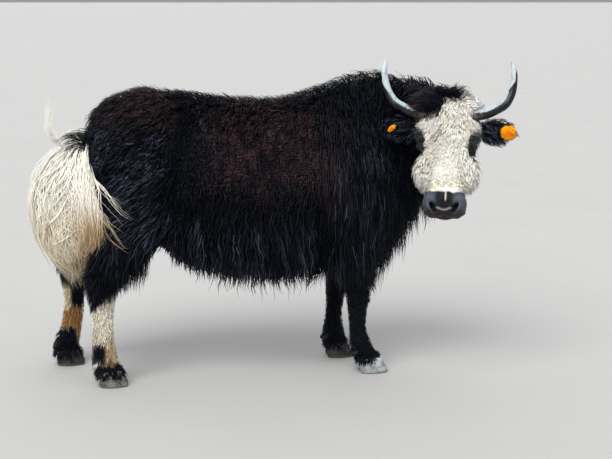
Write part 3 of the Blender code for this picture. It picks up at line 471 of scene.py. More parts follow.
def coordinates(mesh):
    """The places and normals of a mesh's vertices as arrays."""
    places = np.empty(len(mesh.vertices) * 3, np.float32)
    mesh.vertices.foreach_get("co", places)
    normals = np.empty(len(mesh.vertices) * 3, np.float32)
    mesh.vertex_normals.foreach_get("vector", normals)
    return places.reshape(-1, 3).astype(float), normals.reshape(-1, 3).astype(float)


def set_coordinates(mesh, places):
    mesh.vertices.foreach_set("co", places.astype(np.float32).ravel())
    mesh.update()


def add_attribute(mesh, key, values, kind="FLOAT", field="value"):
    """A number or a vector at each vertex, which a material reads."""
    layer = mesh.attributes.new(key, kind, "POINT")
    layer.data.foreach_set(field, values.astype(np.float32).ravel())


def finished(obj, slot, *nodes, move=True):
    """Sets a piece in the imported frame, shades it, and ties it to the frame."""
    if move:
        obj.data.transform(Matrix.Translation(SHIFT))
    obj.data.shade_smooth()
    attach(obj, "root")
    if nodes:
        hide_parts(*nodes)


# Materials

class Signal:
    """A node's output. Arithmetic on it adds Math nodes."""

    def __init__(self, finish, socket):
        self.finish = finish
        self.socket = socket

    def math(self, operation, *others):
        values = dict(enumerate((self, *others)))
        return self.finish.node("ShaderNodeMath", {"operation": operation}, values)

    def __add__(self, other):
        return self.math("ADD", other)

    def __radd__(self, other):
        return self.math("ADD", other)

    def __sub__(self, other):
        return self.math("SUBTRACT", other)

    def __rsub__(self, other):
        values = {0: other, 1: self}
        return self.finish.node("ShaderNodeMath", {"operation": "SUBTRACT"}, values)

    def __mul__(self, other):
        return self.math("MULTIPLY", other)

    def __rmul__(self, other):
        return self.math("MULTIPLY", other)

    def __truediv__(self, other):
        return self.math("DIVIDE", other)

    def __abs__(self):
        return self.math("ABSOLUTE")

    def most(self, other):
        return self.math("MAXIMUM", other)

    def least(self, other):
        return self.math("MINIMUM", other)

    def power(self, other):
        return self.math("POWER", other)

    def sine(self):
        return self.math("SINE")

    def dot(self, vector):
        values = {0: self, 1: tuple(vector)}
        return self.finish.node("ShaderNodeVectorMath", {"operation": "DOT_PRODUCT"}, values, "Value")

    def shifted(self, vector):
        values = {0: self, 1: tuple(vector)}
        return self.finish.node("ShaderNodeVectorMath", {"operation": "ADD"}, values)

    def scaled(self, vector):
        values = {0: self, 1: tuple(vector)}
        return self.finish.node("ShaderNodeVectorMath", {"operation": "MULTIPLY"}, values)

    def eased(self, low, high):
        """0 at low and 1 at high, or the other way round where low is above high."""
        settings = {"interpolation_type": "SMOOTHSTEP"}
        values = {"Value": self, "From Min": low, "From Max": high}
        return self.finish.node("ShaderNodeMapRange", settings, values)


def rgb(value):
    """A colour with the alpha that a socket asks for."""
    return (*value, 1.0)


class Finish:
    """One material: a Principled shader, with constants on its sockets and signals in front."""

    def __init__(self, name, **constants):
        self.material = bpy.data.materials.new(name)
        self.material.use_nodes = True
        self.tree = self.material.node_tree
        self.shader = self.tree.nodes["Principled BSDF"]
        for socket, value in constants.items():
            self.shader.inputs[socket.replace("_", " ")].default_value = value

    def node(self, kind, settings=None, values=None, output=0):
        """The output of a new node, with its settings made first."""
        made = self.tree.nodes.new(kind)
        for key, value in (settings or {}).items():
            setattr(made, key, value)
        for key, value in (values or {}).items():
            self.feed(made.inputs[key], value)
        return Signal(self, made.outputs[output])

    def feed(self, socket, value):
        if isinstance(value, Signal):
            self.tree.links.new(value.socket, socket)
        else:
            socket.default_value = value

    def here(self):
        """The place on the surface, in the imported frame."""
        return self.node("ShaderNodeTexCoord", output="Object")

    def place(self, by_root=False):
        """The place in the body's frame: of the hair's root, or of the surface itself."""
        if by_root:
            return self.node("ShaderNodeAttribute", {"attribute_name": "root"}, output="Vector")
        return self.here().shifted(-SHIFT)

    def attribute(self, name):
        return self.node("ShaderNodeAttribute", {"attribute_name": name}, output="Fac")

    def cloud(self, place, scale, detail=2.0, roughness=0.5):
        values = {"Vector": place, "Scale": scale, "Detail": detail, "Roughness": roughness}
        return self.node("ShaderNodeTexNoise", values=values)

    def mix(self, first, second, share):
        """From one colour to another, each a signal or three numbers."""
        first, second = (value if isinstance(value, Signal) else rgb(value) for value in (first, second))
        return self.node("ShaderNodeMix", {"data_type": "RGBA"}, {0: share, 6: first, 7: second}, 2)

    def shade(self, colour, amount):
        """A colour, made darker or lighter by a number."""
        return self.node("ShaderNodeVectorMath", {"operation": "SCALE"}, {0: colour, 3: amount})

    def bump(self, height, distance, strength=1.0):
        values = {"Height": height, "Distance": distance, "Strength": strength}
        self.feed(self.shader.inputs["Normal"], self.node("ShaderNodeBump", values=values))

    def colour(self, signal):
        self.feed(self.shader.inputs["Base Color"], signal)

    def roughness(self, signal):
        self.feed(self.shader.inputs["Roughness"], signal)


def spot(place, middle_side, middle_along, half_side, half_along):
    """A soft round mask on the face: 1 in the middle and 0 past its half axes."""
    side, along, _ = head_signals(place)
    total = ((side - middle_side) / half_side).power(2.0) + ((along - middle_along) / half_along).power(2.0)
    return total.eased(1.25, 0.75)


def head_signals(place):
    """Signals for (side, along, front) in the head's frame."""
    offset = place.shifted(-POLL)
    return offset.dot(SIDEWAYS), offset.dot(ALONG), offset.dot(FRONT)


def body_markings(finish, place, look):
    """Black, browned by the sun along the barrel and the rump, with a painted blue sheen on the thigh, flank
    and shoulder, and painted shade in the hollow before the hip.
    """
    x, z = place.dot(X_AXIS), place.dot(Z_AXIS)
    patches = finish.cloud(place, 5.0, 3.0, 0.6)
    streaks = finish.cloud(place.scaled((1.0, 1.0, 0.35)), 34.0, 3.0, 0.65)
    barrel = x.eased(-0.18, 0.08) * x.eased(0.58, 0.30) * z.eased(0.76, 0.93) * z.eased(1.20, 1.08)
    rump = x.eased(-0.14, -0.24) * x.eased(-0.54, -0.40) * z.eased(1.02, 1.14)
    browned = (barrel + rump * 0.9) * patches.eased(0.12, 0.55) * streaks.eased(0.32, 0.66) * 1.15
    coat = finish.mix(look.black, look.brown, browned.least(1.0))
    # Painted shade: near black in the hollow before the hip
    hollow = abs(x - z * 0.22 + 0.399).eased(0.058, 0.012) * z.eased(0.72, 0.82) * z.eased(1.17, 1.08)
    coat = finish.mix(coat, (0.0012, 0.0013, 0.0020), hollow * 0.9)
    # Painted highlights: a blue streak beside the hip hollow, and a blue sheen on thigh, flank and shoulder,
    # brightest on some tufts and kept out of the hollow
    streak = abs(x + z * 0.47 - 0.433).eased(0.024, 0.004) * z.eased(0.96, 1.02) * z.eased(1.17, 1.12)
    thigh = x.eased(-0.16, -0.26) * z.eased(0.58, 0.68) * z.eased(1.13, 0.97) * 1.3
    flank = x.eased(-0.22, -0.10) * x.eased(0.46, 0.30) * z.eased(0.78, 0.66) * 0.9
    shoulder = x.eased(0.40, 0.50) * x.eased(0.74, 0.62) * z.eased(1.12, 0.98) * z.eased(0.36, 0.46) * 0.7
    strands = streaks.eased(0.38, 0.66) * (finish.attribute("tuft").eased(0.30, 0.95) * 0.9 + 0.1)
    painted_sheen = ((thigh + flank + shoulder) * patches.eased(0.22, 0.60) + streak * 0.8).least(1.0)
    return finish.mix(coat, look.blue, (painted_sheen * (1.0 - hollow) * strands).least(1.0))


def fringe_markings(finish, place, look):
    """Black, browned over the right horn and grey by the left one."""
    side, along, _ = head_signals(place)
    patches = finish.cloud(place, 42.0, 2.0, 0.6)
    share = finish.attribute("share")
    tuft = finish.attribute("tuft")
    strands = tuft.eased(0.35, 0.85) * share
    browned = side.eased(-0.045, -0.075).most(side.eased(0.060, 0.080)) * patches.eased(0.34, 0.54) * strands
    coat = finish.mix(look.black, look.rust, browned)
    paled = (side + patches * 0.02).eased(0.046, 0.058) * (along + patches * 0.02).eased(-0.010, 0.008)
    greyed = (share * 0.8 + patches * 0.5 - 0.40).least(1.0).most(0.0)
    pale = finish.mix(look.white, look.grey, greyed)
    return finish.mix(coat, pale, paled * (1.0 - share.eased(0.85, 1.0) * 0.4))


def ear_markings(finish, place, look):
    """Black with a painted blue sheen at the tips."""
    painted_sheen = finish.attribute("tuft").eased(0.45, 1.0) * finish.attribute("share")
    return finish.mix(look.black, look.blue, painted_sheen)


def leg_markings(finish, place, look):
    """Cream and tan hind shanks with black patches, and black forelegs."""
    x, y, z = (place.dot(axis) for axis in (X_AXIS, Y_AXIS, Z_AXIS))
    warp = (finish.cloud(place, 16.0, 3.0, 0.65) - 0.5) * 0.07
    fine = (finish.cloud(place, 70.0, 2.0, 0.6) - 0.5) * 0.03
    tall = z + warp + fine
    hind = x.eased(-0.20, -0.24)
    near = y.eased(0.0, -0.02)
    # Near hind: cream from hock to cannon behind a slanting edge, tan in front low down, black feet
    blotch = finish.cloud(place, 24.0, 2.0, 0.5).eased(0.50, 0.62)
    tanned = (tall.eased(0.28, 0.14) * 0.72 + blotch * 0.28).least(1.0)
    cream = finish.mix(finish.mix(look.cream, look.white, 0.7), look.tan, tanned)
    edge = x * 0.95 - tall + 0.846
    near_light = tall.eased(0.105, 0.125) * edge.eased(-0.014, 0.010)
    behind = (x + warp * 0.5).eased(-0.490, -0.512)
    low_patch = behind * tall.eased(0.195, 0.185) * tall.eased(0.110, 0.120)
    near_light = near_light * (1.0 - low_patch)
    # Far hind: cream behind at the top, a tan band, and black below with a tan front edge
    rear = (x + warp * 0.5).eased(-0.634, -0.654)
    band = tall.eased(0.170, 0.185) * tall.eased(0.280, 0.265)
    top_light = tall.eased(0.265, 0.280) * tall.eased(0.385, 0.355) * rear
    toe_light = tall.eased(0.195, 0.185) * tall.eased(0.08, 0.10) * (x + warp * 0.3).eased(-0.636, -0.620)
    far_tan = (band + toe_light).least(1.0)
    far_colour = finish.mix(look.cream, look.deep_tan, far_tan)
    far_light = (band + top_light + toe_light).least(1.0)
    pale = finish.mix(far_colour, cream, near)
    light = (near_light * near + far_light * (1.0 - near)) * hind
    return finish.mix(look.black, pale, light)


def nostril_offsets(reach, along):
    """How far a place lies along and across a nostril: they come together downwards."""
    return (along - 0.458) * 0.80 - (reach - 0.045) * 0.60, (along - 0.458) * 0.60 + (reach - 0.045) * 0.80


def muzzle_colour(finish, place, look):
    """Slate skin: dark in the middle, paler and bluish at the sides, brown below, yellowish on the lip, with
    a painted highlight along the edge of the bare nose and painted shade in the nostrils.
    """
    side, along, front = head_signals(place)
    reach = abs(side)
    patches = finish.cloud(place, 60.0, 3.0, 0.65)
    colour = finish.mix(look.slate, look.slate_pale, (reach + patches * 0.02).eased(0.034, 0.062))
    low = (along + patches * 0.02).eased(0.468, 0.486) * 0.8
    colour = finish.mix(colour, look.slate_brown, low)
    lip = (front + patches * 0.01).eased(-0.104, -0.116)
    colour = finish.mix(colour, look.lip, lip * 0.8)
    # A painted highlight along the line that bounds the bare nose below
    line = abs(along - 0.470 + (reach * reach) * 8.4).eased(0.0050, 0.0018) * reach.eased(0.056, 0.048)
    colour = finish.mix(colour, (0.30, 0.29, 0.28), line * 0.9)
    # Painted shade, near black, in the hollows of the nostrils
    long_way, short_way = nostril_offsets(reach, along)
    ring = (long_way / 0.0185).power(2.0) + (short_way / 0.0085).power(2.0)
    hollow = ring.eased(1.7, 1.0) * front.eased(-0.085, -0.070)
    colour = finish.mix(colour, (0.002, 0.002, 0.002), hollow)
    pores = finish.cloud(place, 300.0, 2.0, 0.6)
    return finish.shade(colour, pores * 0.9 + 0.5)


# Brown stains of the forehead: side and along the face, and their half axes
FACE_STAINS = (
    (-0.046, 0.150, 0.012, 0.011),
    (-0.030, 0.136, 0.013, 0.010),
    (-0.018, 0.124, 0.010, 0.010),
    (0.058, 0.086, 0.009, 0.010),
)


def face_markings(finish, place, look):
    """White wool, a black poll and eye surrounds, painted highlights on the brows, brown stains and a slate
    muzzle.
    """
    warp = finish.cloud(place, 38.0, 3.0, 0.65) - 0.5
    broad = finish.cloud(place, 11.0, 2.0) - 0.5
    side, along, front = head_signals(place)
    wool = finish.mix(look.white, look.cream, broad.eased(-0.10, 0.25) * 0.50)
    wool = finish.mix(wool, look.stain, along.eased(0.30, 0.40) * (broad * 2.0 + 0.5).least(1.0) * 0.5)
    moved_side = side + warp * 0.024
    moved_along = along + warp * 0.042
    reach = abs(moved_side)
    # Black of the poll, down to an edge that is lower on the animal's right
    edge = moved_side.eased(-0.012, -0.034) * 0.072 - moved_side.eased(-0.082, -0.098) * 0.030
    edge = edge - moved_side.eased(0.035, 0.050) * 0.016
    poll = (edge - moved_along).eased(-0.009, 0.009)
    # Black behind the cheeks, round the ears and down the throat
    back = (front + warp * 0.03 + along * 0.22).eased(-0.064, -0.086)
    # Black round the eyes, lower on the animal's left
    left = side.eased(-0.01, 0.01)
    wide = left * 0.011 + 0.040
    tall = moved_along - 0.172 - left * 0.022
    surround = (((reach - 0.128) / wide).power(2.0) + (tall / 0.067).power(2.0)).eased(1.15, 0.85)
    dark = poll.most(back).most(surround).least(1.0)
    coat = finish.mix(wool, look.black, dark)
    # Painted highlights in pale slate on the ridges of the brows above the eyes
    brow = spot(place, 0.106, 0.136, 0.022, 0.016).most(spot(place, -0.114, 0.118, 0.016, 0.016))
    coat = finish.mix(coat, look.slate_pale, brow * 0.55)
    for stained in FACE_STAINS:
        stain = spot(place, *stained) * (warp + 1.0).least(1.0) * 0.55
        coat = finish.mix(coat, look.stain_dark, stain)
    # Slate muzzle, with a white notch at the middle of its upper edge
    gap = abs(side - NOTCH_SIDE)
    notch = gap.eased(0.0058, 0.0014) * 0.5 * (along + gap * 2.5).eased(0.446, 0.436)
    corner = abs(side).eased(0.040, 0.072) * 0.014
    muzzle = (moved_along - warp * 0.020 + corner).eased(0.396, 0.405) * (1.0 - notch)
    return finish.mix(coat, muzzle_colour(finish, place, look), muzzle)


def single_hairs(finish, tuft, share, fine, long):
    """Noise that is drawn out along each tuft, as its single hairs."""
    run = {0: finish.attribute("across") * fine, 1: tuft * HAIR_STEP, 2: share * long}
    return finish.cloud(finish.node("ShaderNodeCombineXYZ", values=run), 1.0, 2.0, 0.6)


def coat_material(name, markings, look, by_root, roughness=0.42, gloss=0.12, crimp=0.0, contrast=1.0,
                  sheen=0.0):
    """Hair or skin with one region's markings. Hair varies from tuft to tuft, and along its length it is
    painted darker towards the root, as shade deep in the coat.
    """
    finish = Finish(
        name, Roughness=roughness, IOR=1.5, Specular_IOR_Level=gloss, Specular_Tint=rgb(look.sheen),
        Sheen_Weight=sheen,
    )
    place = finish.place(by_root)
    colour = markings(finish, place, look)
    if not by_root:
        fine = finish.cloud(place, 420.0, 3.0, 0.7)
        finish.colour(finish.shade(colour, fine * 0.9 + 0.45))
        finish.bump(fine, 0.0015, 0.9)
        return finish.material
    tuft = finish.attribute("tuft")
    share = finish.attribute("share")
    hairs = single_hairs(finish, tuft, share, 2.6, 1.6)
    # Painted shade: each tuft darker towards its root; the tuft and hair noise vary the tone at random
    amount = (tuft * 0.75 + share * 0.65 + hairs * 1.1 - 1.25) * contrast + 1.0
    height = hairs
    if crimp:
        # Ripples of crimp bump the hair and paint shade in their troughs and light on their crests
        here = finish.here()
        z = here.dot(Z_AXIS)
        slip = finish.cloud(here, 26.0, 2.0) * 22.0
        rump = here.dot(X_AXIS).eased(-0.15, -0.21)
        close = (z * (2.0 * math.pi / CLOSE_CRIMP) + slip).sine()
        wide = (z * (2.0 * math.pi / WIDE_CRIMP) + slip * 1.1).sine() * 1.2
        ripple = close * (1.0 - rump) + wide * rump
        amount = amount * (ripple * crimp + 1.0)
        height = hairs + ripple * crimp
    finish.colour(finish.shade(colour, amount))
    finish.bump(height, 0.0010, 0.7)
    return finish.material


# The parts of the body, for the unwrap and the lie of the hair

def part_of(places):
    """Which part of the body each place lies on."""
    x, y, z = places.T
    part = np.full(len(places), TORSO)
    front_of_neck = (places - np.array(NECK_CUT_POINT)) @ np.array(NECK_CUT_NORMAL) > 0
    front_of_head = (places - np.array(HEAD_CUT_POINT)) @ np.array(HEAD_CUT_NORMAL) > 0
    part[front_of_neck & (x > 0.70)] = NECK
    part[front_of_head & (x > 0.72) & (z > 0.60)] = HEAD
    part[(x < -0.575) & (np.abs(y) < 0.11) & (z > 0.46)] = TAIL
    hind = (x < -0.15) & (z < 0.66) & (np.abs(y) > 0.045) & (part != TAIL)
    fore = (x > 0.36) & (x < 0.82) & (z < 0.62) & (np.abs(y) > 0.045)
    part[hind & (y > 0)] = HIND_LEFT
    part[hind & (y < 0)] = HIND_RIGHT
    part[fore & (y > 0)] = FORE_LEFT
    part[fore & (y < 0)] = FORE_RIGHT
    side = in_head(places)[:, 0]
    for ear, sign in EAR_PARTS.items():
        root, tip = (np.array(end) for end in ear_line(sign))
        reach = tip - root
        at = np.clip(((places - root) @ reach) / (reach @ reach), 0.0, 1.0)
        off = np.linalg.norm(places - root - at[:, None] * reach, axis=1)
        part[(off < 0.062) & (at > 0.22) & (side * sign > 0.132)] = ear
    return part


def part_axes():
    """For each part: a point on its axis, the axis, and the way that faces the middle of its map."""
    up = Vector((0.0, 0.0, 1.0))
    neck_axis = (Vector(NECK_RINGS[-1][0]) - Vector(NECK_RINGS[1][0])).normalized()
    axes = {
        TORSO: (Vector((0.0, 0.0, 0.87)), Vector((1.0, 0.0, 0.0)), up),
        NECK: (Vector(NECK_RINGS[2][0]), neck_axis, up),
        HEAD: (head_point(0.0, 0.0, -0.10), ALONG, FRONT),
        TAIL: (Vector((-0.645, 0.0, 0.80)), DOWN, Vector((-1.0, 0.0, 0.0))),
    }
    for part, name in LEG_PARTS.items():
        rings, sign = LEGS[name]
        x, y = rings[JOINT_RING][:2]
        axes[part] = (Vector((x, sign * y, 0.4)), DOWN, Vector((0.0, float(sign), 0.0)))
    for part, sign in EAR_PARTS.items():
        root, tip = ear_line(sign)
        axes[part] = (root, (tip - root).normalized(), FRONT)
    return axes


def unwrap(places, parts):
    """The skin laid flat: round each part's axis one way and along it the other, part by part."""
    flat = np.zeros((len(places), 2))
    for part, (origin, axis, facing) in part_axes().items():
        here = parts == part
        facing = (facing - axis * facing.dot(axis)).normalized()
        across = axis.cross(facing)
        offset = places[here] - np.array(origin)
        turn = np.arctan2(offset @ np.array(across), offset @ np.array(facing)) / (2.0 * math.pi)
        flat[here, 0] = part * 1.1 + turn
        flat[here, 1] = offset @ np.array(axis)
    return flat


# Skin

def torso_form():
    rings = []
    for x, low, high, half_width, narrow in TORSO_RINGS:
        centre = Vector((x, 0.0, (low + high) / 2.0))
        up = Vector((0.0, 0.0, (high - low) / 2.0))
        rings.append((centre, Vector((0.0, half_width, 0.0)), up, narrow))
    return loft("torso_form", rings, 40)


def neck_form():
    return sweep("neck_form", NECK_RINGS, Vector((0.0, 0.0, 1.0)), 32)


def leg_forms():
    """The legs, with the points of hocks and elbows and the flats of the knees."""
    made = []
    for name, (rings, sign) in LEGS.items():
        stations = []
        for x, y, z, half_length, half_width in rings:
            centre = Vector((x, sign * y, z))
            stations.append((centre, Vector((half_length, 0, 0)), Vector((0, half_width, 0)), 0.0))
        made.append(loft(name + "_form", stations, 24))
        x, y, z = rings[JOINT_RING][:3]
        if name.startswith("hind"):
            made.append(ball("hock", Vector((x - 0.038, sign * y, z + 0.030)), (0.030, 0.026, 0.050)))
            continue
        made.append(ball("knee", Vector((x + 0.008, sign * y, z)), (0.050, 0.050, 0.052)))
        x, y, z = rings[ELBOW_RING][:3]
        made.append(ball("elbow", Vector((x - 0.070, sign * y, z - 0.010)), (0.060, 0.050, 0.070)))
    return made


def dock_form():
    stations = [(centre, radius, radius) for centre, radius in DOCK_STATIONS]
    return sweep("dock", stations, Vector((-1.0, 0.0, 0.2)), 16)


# Swellings on both sides of the head: side, a move to its left, along the face, in front, and half axes
HEAD_SWELLINGS = (
    ("orbit", EYE_SIDE - 0.022, 0.0, EYE_ALONG - 0.004, EYE_DEPTH, (0.040, 0.046, 0.042)),
    ("cheek", 0.058, 0.0, 0.180, -0.135, (0.048, 0.110, 0.075)),
    ("wool", 0.0755, 0.0015, 0.285, -0.095, (0.045, 0.070, 0.052)),
    ("lip", 0.043, 0.0, 0.432, -0.070, (0.047, 0.050, 0.052)),
)


def head_forms():
    """The head's loft, orbits, cheeks, lips and chin."""
    rings = []
    for along, half_width, front, back, narrow in HEAD_RINGS:
        centre = head_point(0.0, along, (front + back) / 2.0)
        rings.append((centre, SIDEWAYS * half_width, FRONT * (front - back) / 2.0, narrow))
    made = [loft("head_form", rings, 40)]
    for sign in SIDES.values():
        for name, side, moved, along, front, radii in HEAD_SWELLINGS:
            place = head_point(sign * side + moved, along, front)
            made.append(ball(name, place, radii, HEAD_FRAME))
    made.append(ball("chin", head_point(0.0, 0.440, -0.122), (0.054, 0.044, 0.030), HEAD_FRAME))
    return made


def lid_forms():
    """An almond ring round each eye."""
    made = []
    for sign in SIDES.values():
        centre = head_point(sign * (EYE_SIDE + 0.0078), EYE_ALONG, EYE_DEPTH)
        look, across, rise = eye_axes(sign)
        bm = bmesh.new()
        loops = []
        for i in range(LID_STEPS):
            turn = 2.0 * math.pi * i / LID_STEPS
            reach = LID_HALF_LENGTH * (1.0 + 0.16 * abs(math.cos(turn)) ** 3)
            spoke = across * math.cos(turn) * reach + rise * math.sin(turn) * LID_HALF_HEIGHT
            back = look * -0.0060 * abs(math.cos(turn))
            out = spoke.normalized()
            loops.append(ring_edges(bm, centre + spoke + back, out * LID_WIRE * 1.5, look * LID_WIRE, 10))
        for first, second in zip(loops, loops[1:] + loops[:1]):
            bmesh.ops.bridge_loops(bm, edges=first + second)
        made.append(object_from("lid", bm))
    return made


def ear_forms():
    """Leaves with a hollow cup on the front face."""
    made = []
    for sign in SIDES.values():
        root, tip = ear_line(sign)
        reach = tip - root
        stations = [
            (root + reach * at, EAR_HALF_WIDTH * size, EAR_HALF_THICKNESS * (0.35 + 0.65 * size))
            for at, size in EAR_OUTLINE
        ]
        ear = sweep("ear", stations, FRONT, 24)
        wide = reach.cross(FRONT).normalized()
        out = wide.cross(reach).normalized()
        out = out if out.dot(FRONT) > 0 else -out
        turn = Matrix((wide, reach.normalized(), out)).transposed()
        hollow = root + reach * 0.60 + out * EAR_HALF_THICKNESS * 1.05
        cup = ball("cup", hollow, (EAR_HALF_WIDTH * 0.72, reach.length * 0.36, 0.022), turn)
        made.append(cut(ear, "DIFFERENCE", cup))
    return made


def sink_body(body):
    """Moves the body's surface in by the depth of its coat: deep on the trunk, thin on the shanks."""
    places, normals = coordinates(body.data)
    x, _, z = places.T
    part = part_of(places)
    depth = np.full(len(places), 0.020)
    crest = smooth(normals[:, 2], 0.30, 0.75) * np.isin(part, (TORSO, NECK)) * smooth(z, 0.95, 1.05)
    depth = depth - 0.013 * crest
    # The barrel lies deeper than rump and shoulder, most of all in the hollow before the hip
    tall = smooth(z, 0.60, 0.74) * (1.0 - smooth(z, 1.08, 1.16))
    barrel = smooth(x, -0.175, -0.135) * (1.0 - smooth(x, 0.32, 0.46))
    hollow = hump(x + 0.150 + 0.22 * (1.13 - z), 0.0, 0.028)
    depth = depth + tall * (0.012 * barrel + 0.012 * hollow)
    for leg, name in LEG_PARTS.items():
        joint = LEGS[name][0][JOINT_RING][2]
        here = part == leg
        depth[here] = 0.004 + 0.014 * smooth(z[here], joint - 0.04, joint + 0.12)
    depth[part == TAIL] = 0.0
    set_coordinates(body.data, places - normals * depth[:, None])


def sculpt_head(head):
    """Sinks the head by its wool, and works in nostrils, mouth, folds and the eye sockets."""
    places, normals = coordinates(head.data)
    side, along, front = in_head(places).T
    reach = np.abs(side)
    near_eye = np.exp(-(((reach - EYE_SIDE) / 0.030) ** 2 + ((along - EYE_ALONG) / 0.040) ** 2
                        + ((front - EYE_DEPTH) / 0.040) ** 2) * 1.2)
    wool = 0.011 * (1.0 - smooth(along, 0.34, 0.405)) * (1.0 - near_eye)
    depth = np.where(np.isin(part_of(places), tuple(EAR_PARTS)), 0.003, wool)
    # Nostrils: comma-shaped hollows with a raised wing
    long_way, short_way = nostril_offsets(reach, along)
    ring = np.sqrt((long_way / 0.0180) ** 2 + (short_way / 0.0088) ** 2)
    facing = front > -0.080
    depth = depth + np.where(facing, 0.022 * np.exp(-(ring ** 2) * 1.3), 0.0)
    depth = depth - np.where(facing, 0.0034 * hump(ring, 1.9, 0.45), 0.0)
    # A groove between the nostrils and a step where the bare nose ends above the lip
    pad = smooth(along, 0.415, 0.44)
    depth = depth + 0.0026 * pad * hump(side, 0.0, 0.004) * facing
    depth = depth + 0.0020 * hump(along - 0.471 + 8.4 * side ** 2, 0.0, 0.0030) * (reach < 0.052) * facing
    # The line of the mouth, low on the muzzle
    line = np.interp(along, MOUTH_ALONG, MOUTH_DEPTH)
    mouth = hump(front, line, 0.0045) * smooth(along, 0.330, 0.36)
    depth = depth + 0.0075 * mouth
    depth = depth - 0.0024 * hump(front - line - 0.010, 0.0, 0.006) * smooth(along, 0.38, 0.43)
    # Wrinkles of the upper lip, beside the nostrils
    wrinkle = np.sin((along * 0.9 + reach * 0.6 + 0.3 * front) * 2.0 * math.pi / 0.0085)
    depth = depth + 0.0005 * wrinkle * pad * smooth(reach, 0.060, 0.072)
    # Folds round the eye, and the ridge of the brow above it
    around = np.sqrt(((along - EYE_ALONG) / 0.034) ** 2 + ((front - EYE_DEPTH) / 0.028) ** 2)
    outer = (reach > 0.085) & (np.abs(along - EYE_ALONG) < 0.08)
    depth = depth + np.where(outer, 0.0022 * hump(around, 1.30, 0.16), 0.0)
    brow = ((along - EYE_ALONG + 0.034) / 0.012) ** 2 + ((front - EYE_DEPTH - 0.012) / 0.034) ** 2
    depth = depth - np.where(outer, 0.0060 * np.exp(-brow), 0.0)
    set_coordinates(head.data, places - normals * depth[:, None])


def eye_hollows(head):
    """Opens a hollow for each eyeball in the head's surface."""
    for sign in SIDES.values():
        centre = head_point(sign * EYE_SIDE, EYE_ALONG, EYE_DEPTH)
        cut(head, "DIFFERENCE", ball("hollow", centre, (EYE_RADIUS + EYE_GAP,) * 3, None, *EYE_SEGMENTS))


SKIN_PARTS = ["torso", "neck", "head", "tail", "ear_left", "ear_right"] + [
    leg + half for leg in LEGS for half in ("_upper", "_lower")
]


def make_skin(sizes):
    """One closed skin from the muzzle to the tail."""
    body = melted("body", [torso_form(), neck_form(), *leg_forms(), dock_form()], sizes.body_voxel, 6)
    sink_body(body)
    head = melted("skin", head_forms() + lid_forms() + ear_forms(), sizes.head_voxel, 3)
    sculpt_head(head)
    eye_hollows(head)
    skin = cut(head, "UNION", body)
    skin.name = "skin"
    return skin


def paint_skin(skin, look):
    """Gives each face of the skin the markings of its region."""
    skin.data.materials.clear()
    for name, markings, roughness in (
        ("skin_body", body_markings, 0.6),
        ("skin_face", face_markings, 0.45),
        ("skin_legs", leg_markings, 0.6),
    ):
        skin.data.materials.append(coat_material(name, markings, look, False, roughness))
    skin.data.materials.append(tail_material(look))
    centres = np.empty(len(skin.data.polygons) * 3, np.float32)
    skin.data.polygons.foreach_get("center", centres)
    parts = part_of(centres.reshape(-1, 3).astype(float))
    slots = np.zeros(len(parts), np.int32)
    slots[parts == HEAD] = 1
    slots[(parts >= HIND_LEFT) & (parts <= FORE_RIGHT)] = 2
    slots[parts == TAIL] = 3
    skin.data.polygons.foreach_set("material_index", slots)


class Surface:
    """The skin as triangles, for setting roots on it and finding what lies nearest."""

    def __init__(self, mesh):
        mesh.calc_loop_triangles()
        places, normals = coordinates(mesh)
        corners = np.empty(len(mesh.loop_triangles) * 3, np.int32)
        mesh.loop_triangles.foreach_get("vertices", corners)
        corners = corners.reshape(-1, 3)
        self.triangles = places[corners]
        self.normals = normals[corners]
        edges = self.triangles[:, 1:] - self.triangles[:, :1]
        self.areas = np.linalg.norm(np.cross(edges[:, 0], edges[:, 1]), axis=1) / 2.0
        self.parts = part_of(self.triangles.mean(axis=1))
        self.tree = BVHTree.FromPolygons(places.tolist(), corners.tolist(), all_triangles=True)

    def scatter(self, draw, parts, spacing):
        """Even random places on some parts, about 'spacing' apart, with the normals there."""
        share = np.where(np.isin(self.parts, parts), self.areas, 0.0)
        count = int(3.2 * share.sum() / spacing ** 2)
        chosen = draw.choice(len(share), count, p=share / share.sum())
        first, second = np.sqrt(draw.random(count)), draw.random(count)
        weights = np.stack([1.0 - first, first * (1.0 - second), first * second], axis=1)[:, :, None]
        places = (self.triangles[chosen] * weights).sum(axis=1)
        normals = unit((self.normals[chosen] * weights).sum(axis=1))
        cells = np.floor(places / (spacing * 0.92)).astype(int)
        _, kept = np.unique(cells, axis=0, return_index=True)
        kept.sort()
        return places[kept], normals[kept]

    def nearest(self, places):
        """For each place, the nearest place on the skin and the outward normal there."""
        found = [self.tree.find_nearest(place)[:2] for place in places.tolist()]
        near = np.array([hit[0] for hit in found])
        out = np.array([hit[1] for hit in found])
        return near, out


@functools.lru_cache(maxsize=1)
def skin_surface():
    """The skin in the body's frame, once it is made."""
    mesh = bpy.data.objects["skin"].data.copy()
    mesh.transform(Matrix.Translation(-SHIFT))
    return Surface(mesh)


# The coat: guide hairs that follow the lie, and tufts that gather along them

class Lie:
    """How the hair grows at a set of roots: one row of numbers for each root."""

    def __init__(self, roots, normals):
        count = len(roots)
        self.roots = roots
        self.normals = normals
        self.parts = part_of(roots)
        self.comb = np.zeros((count, 3))
        self.flow = np.zeros((count, 3))        # the way along which neighbours' waves keep step
        self.length = np.full(count, 0.05)
        self.rise = np.full(count, 0.014)       # height of the tips over the skin
        self.droop = np.full(count, 0.30)       # how soon the hair turns to hang
        self.hug = np.full(count, 1.0)          # how closely it follows the skin
        self.width = np.full(count, 0.005)      # half width of a tuft
        self.wave = np.full(count, 0.003)
        self.wave_length = np.full(count, 0.06)

    def set(self, **values):
        """Sets measures of the hair, each to one number or to one for each root."""
        for key, value in values.items():
            setattr(self, key, np.broadcast_to(value, len(self.roots)).astype(float))

    def only(self, kept):
        """The same lie at some of the roots."""
        made = object.__new__(Lie)
        for key, value in vars(self).items():
            setattr(made, key, value[kept])
        return made


